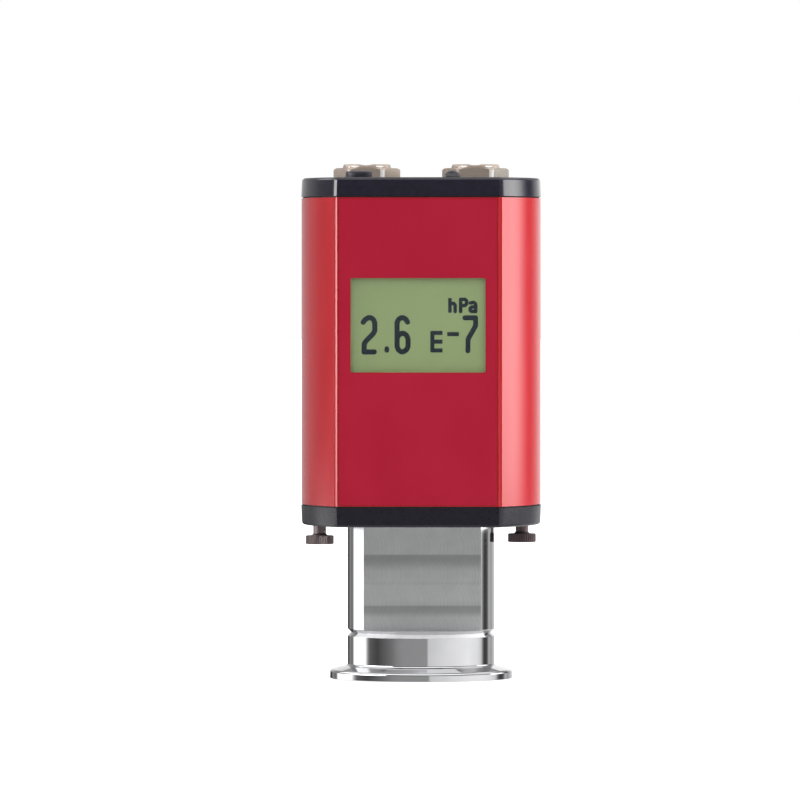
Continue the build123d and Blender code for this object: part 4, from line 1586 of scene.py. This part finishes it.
    def light(self, lamp: Lamp) -> None:
        """Add one soft lamp that faces the object and stays out of the gloss.

        Args:
            lamp: The lamp's place, size and power.
        """
        data = bpy.data.lights.new(lamp.name, "AREA")
        data.shape = "SQUARE"
        data.size = lamp.size * MM
        data.energy = lamp.power
        item = bpy.data.objects.new(lamp.name, data)
        bpy.context.collection.objects.link(item)
        item.location = Vector(lamp.place) * MM
        way = Vector((0, 0, self.aim * MM)) - item.location
        item.rotation_euler = way.to_track_quat("-Z", "Y").to_euler()
        item.visible_glossy = False
        item.visible_camera = False

    def tent(self, name: str, band: Point, stops: tuple[Stop, ...]) -> None:
        """Round paper screen that only the gloss sees, lighter and darker round its ring.

        Args:
            name: Name of the screen.
            band: Lower and upper height.
            stops: Angle from the front, to the right, and brightness.
        """
        deselect()
        bpy.ops.mesh.primitive_cylinder_add(
            vertices=144,
            radius=self.tent_radius * MM,
            depth=(band[1] - band[0]) * MM,
            location=(0, 0, (band[0] + band[1]) / 2 * MM),
            end_fill_type="NOTHING",
        )
        screen = bpy.context.active_object
        screen.name = name
        bpy.ops.object.transform_apply(location=True, rotation=True, scale=True)
        material = bpy.data.materials.new(name)
        material.use_nodes = True
        tree = material.node_tree
        tree.nodes.clear()
        place = tree.nodes.new("ShaderNodeTexCoord")
        split = tree.nodes.new("ShaderNodeSeparateXYZ")
        tree.links.new(place.outputs["Object"], split.inputs["Vector"])
        back = tree.nodes.new("ShaderNodeMath")
        back.operation = "MULTIPLY"
        back.inputs[1].default_value = -1.0
        tree.links.new(split.outputs["Y"], back.inputs[0])
        angle = tree.nodes.new("ShaderNodeMath")
        angle.operation = "ARCTAN2"
        tree.links.new(split.outputs["X"], angle.inputs[0])
        tree.links.new(back.outputs["Value"], angle.inputs[1])
        share = tree.nodes.new("ShaderNodeMapRange")
        share.inputs["From Min"].default_value = -pi
        share.inputs["From Max"].default_value = pi
        tree.links.new(angle.outputs["Value"], share.inputs["Value"])
        ramp = tree.nodes.new("ShaderNodeValToRGB")
        elements = ramp.color_ramp.elements
        while len(elements) < len(stops):
            elements.new(0.5)
        for element, (turn, level) in zip(elements, stops):
            element.position = (turn + 180) / 360
            grey = level / self.peak
            element.color = (grey, grey, grey, 1.0)
        tree.links.new(share.outputs["Result"], ramp.inputs["Fac"])
        glow = tree.nodes.new("ShaderNodeEmission")
        glow.inputs["Strength"].default_value = self.peak
        tree.links.new(ramp.outputs["Color"], glow.inputs["Color"])
        out = tree.nodes.new("ShaderNodeOutputMaterial")
        tree.links.new(glow.outputs["Emission"], out.inputs["Surface"])
        screen.data.materials.append(material)
        screen.visible_camera = False
        screen.visible_diffuse = False
        screen.visible_transmission = False
        screen.visible_shadow = False


def corners(bounds: tuple[Vector, Vector]) -> list[list[float]]:
    """Two corners as plain lists of numbers."""
    return [list(corner) for corner in bounds]


def main() -> None:
    """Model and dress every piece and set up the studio."""
    logging.basicConfig(level=logging.INFO, format="%(message)s")
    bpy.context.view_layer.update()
    Viewpoint().build()
    finishes = Wardrobe()
    finishes.dress_nodes(frame["nodes"])
    for assembly in (VacuumTube(), Housing(), Caps(), ThumbScrews(), Sockets(), TopFittings(), Reading()):
        assembly.build(finishes)
    Studio().build()
    deselect()


if __name__ == "__main__":
    main()
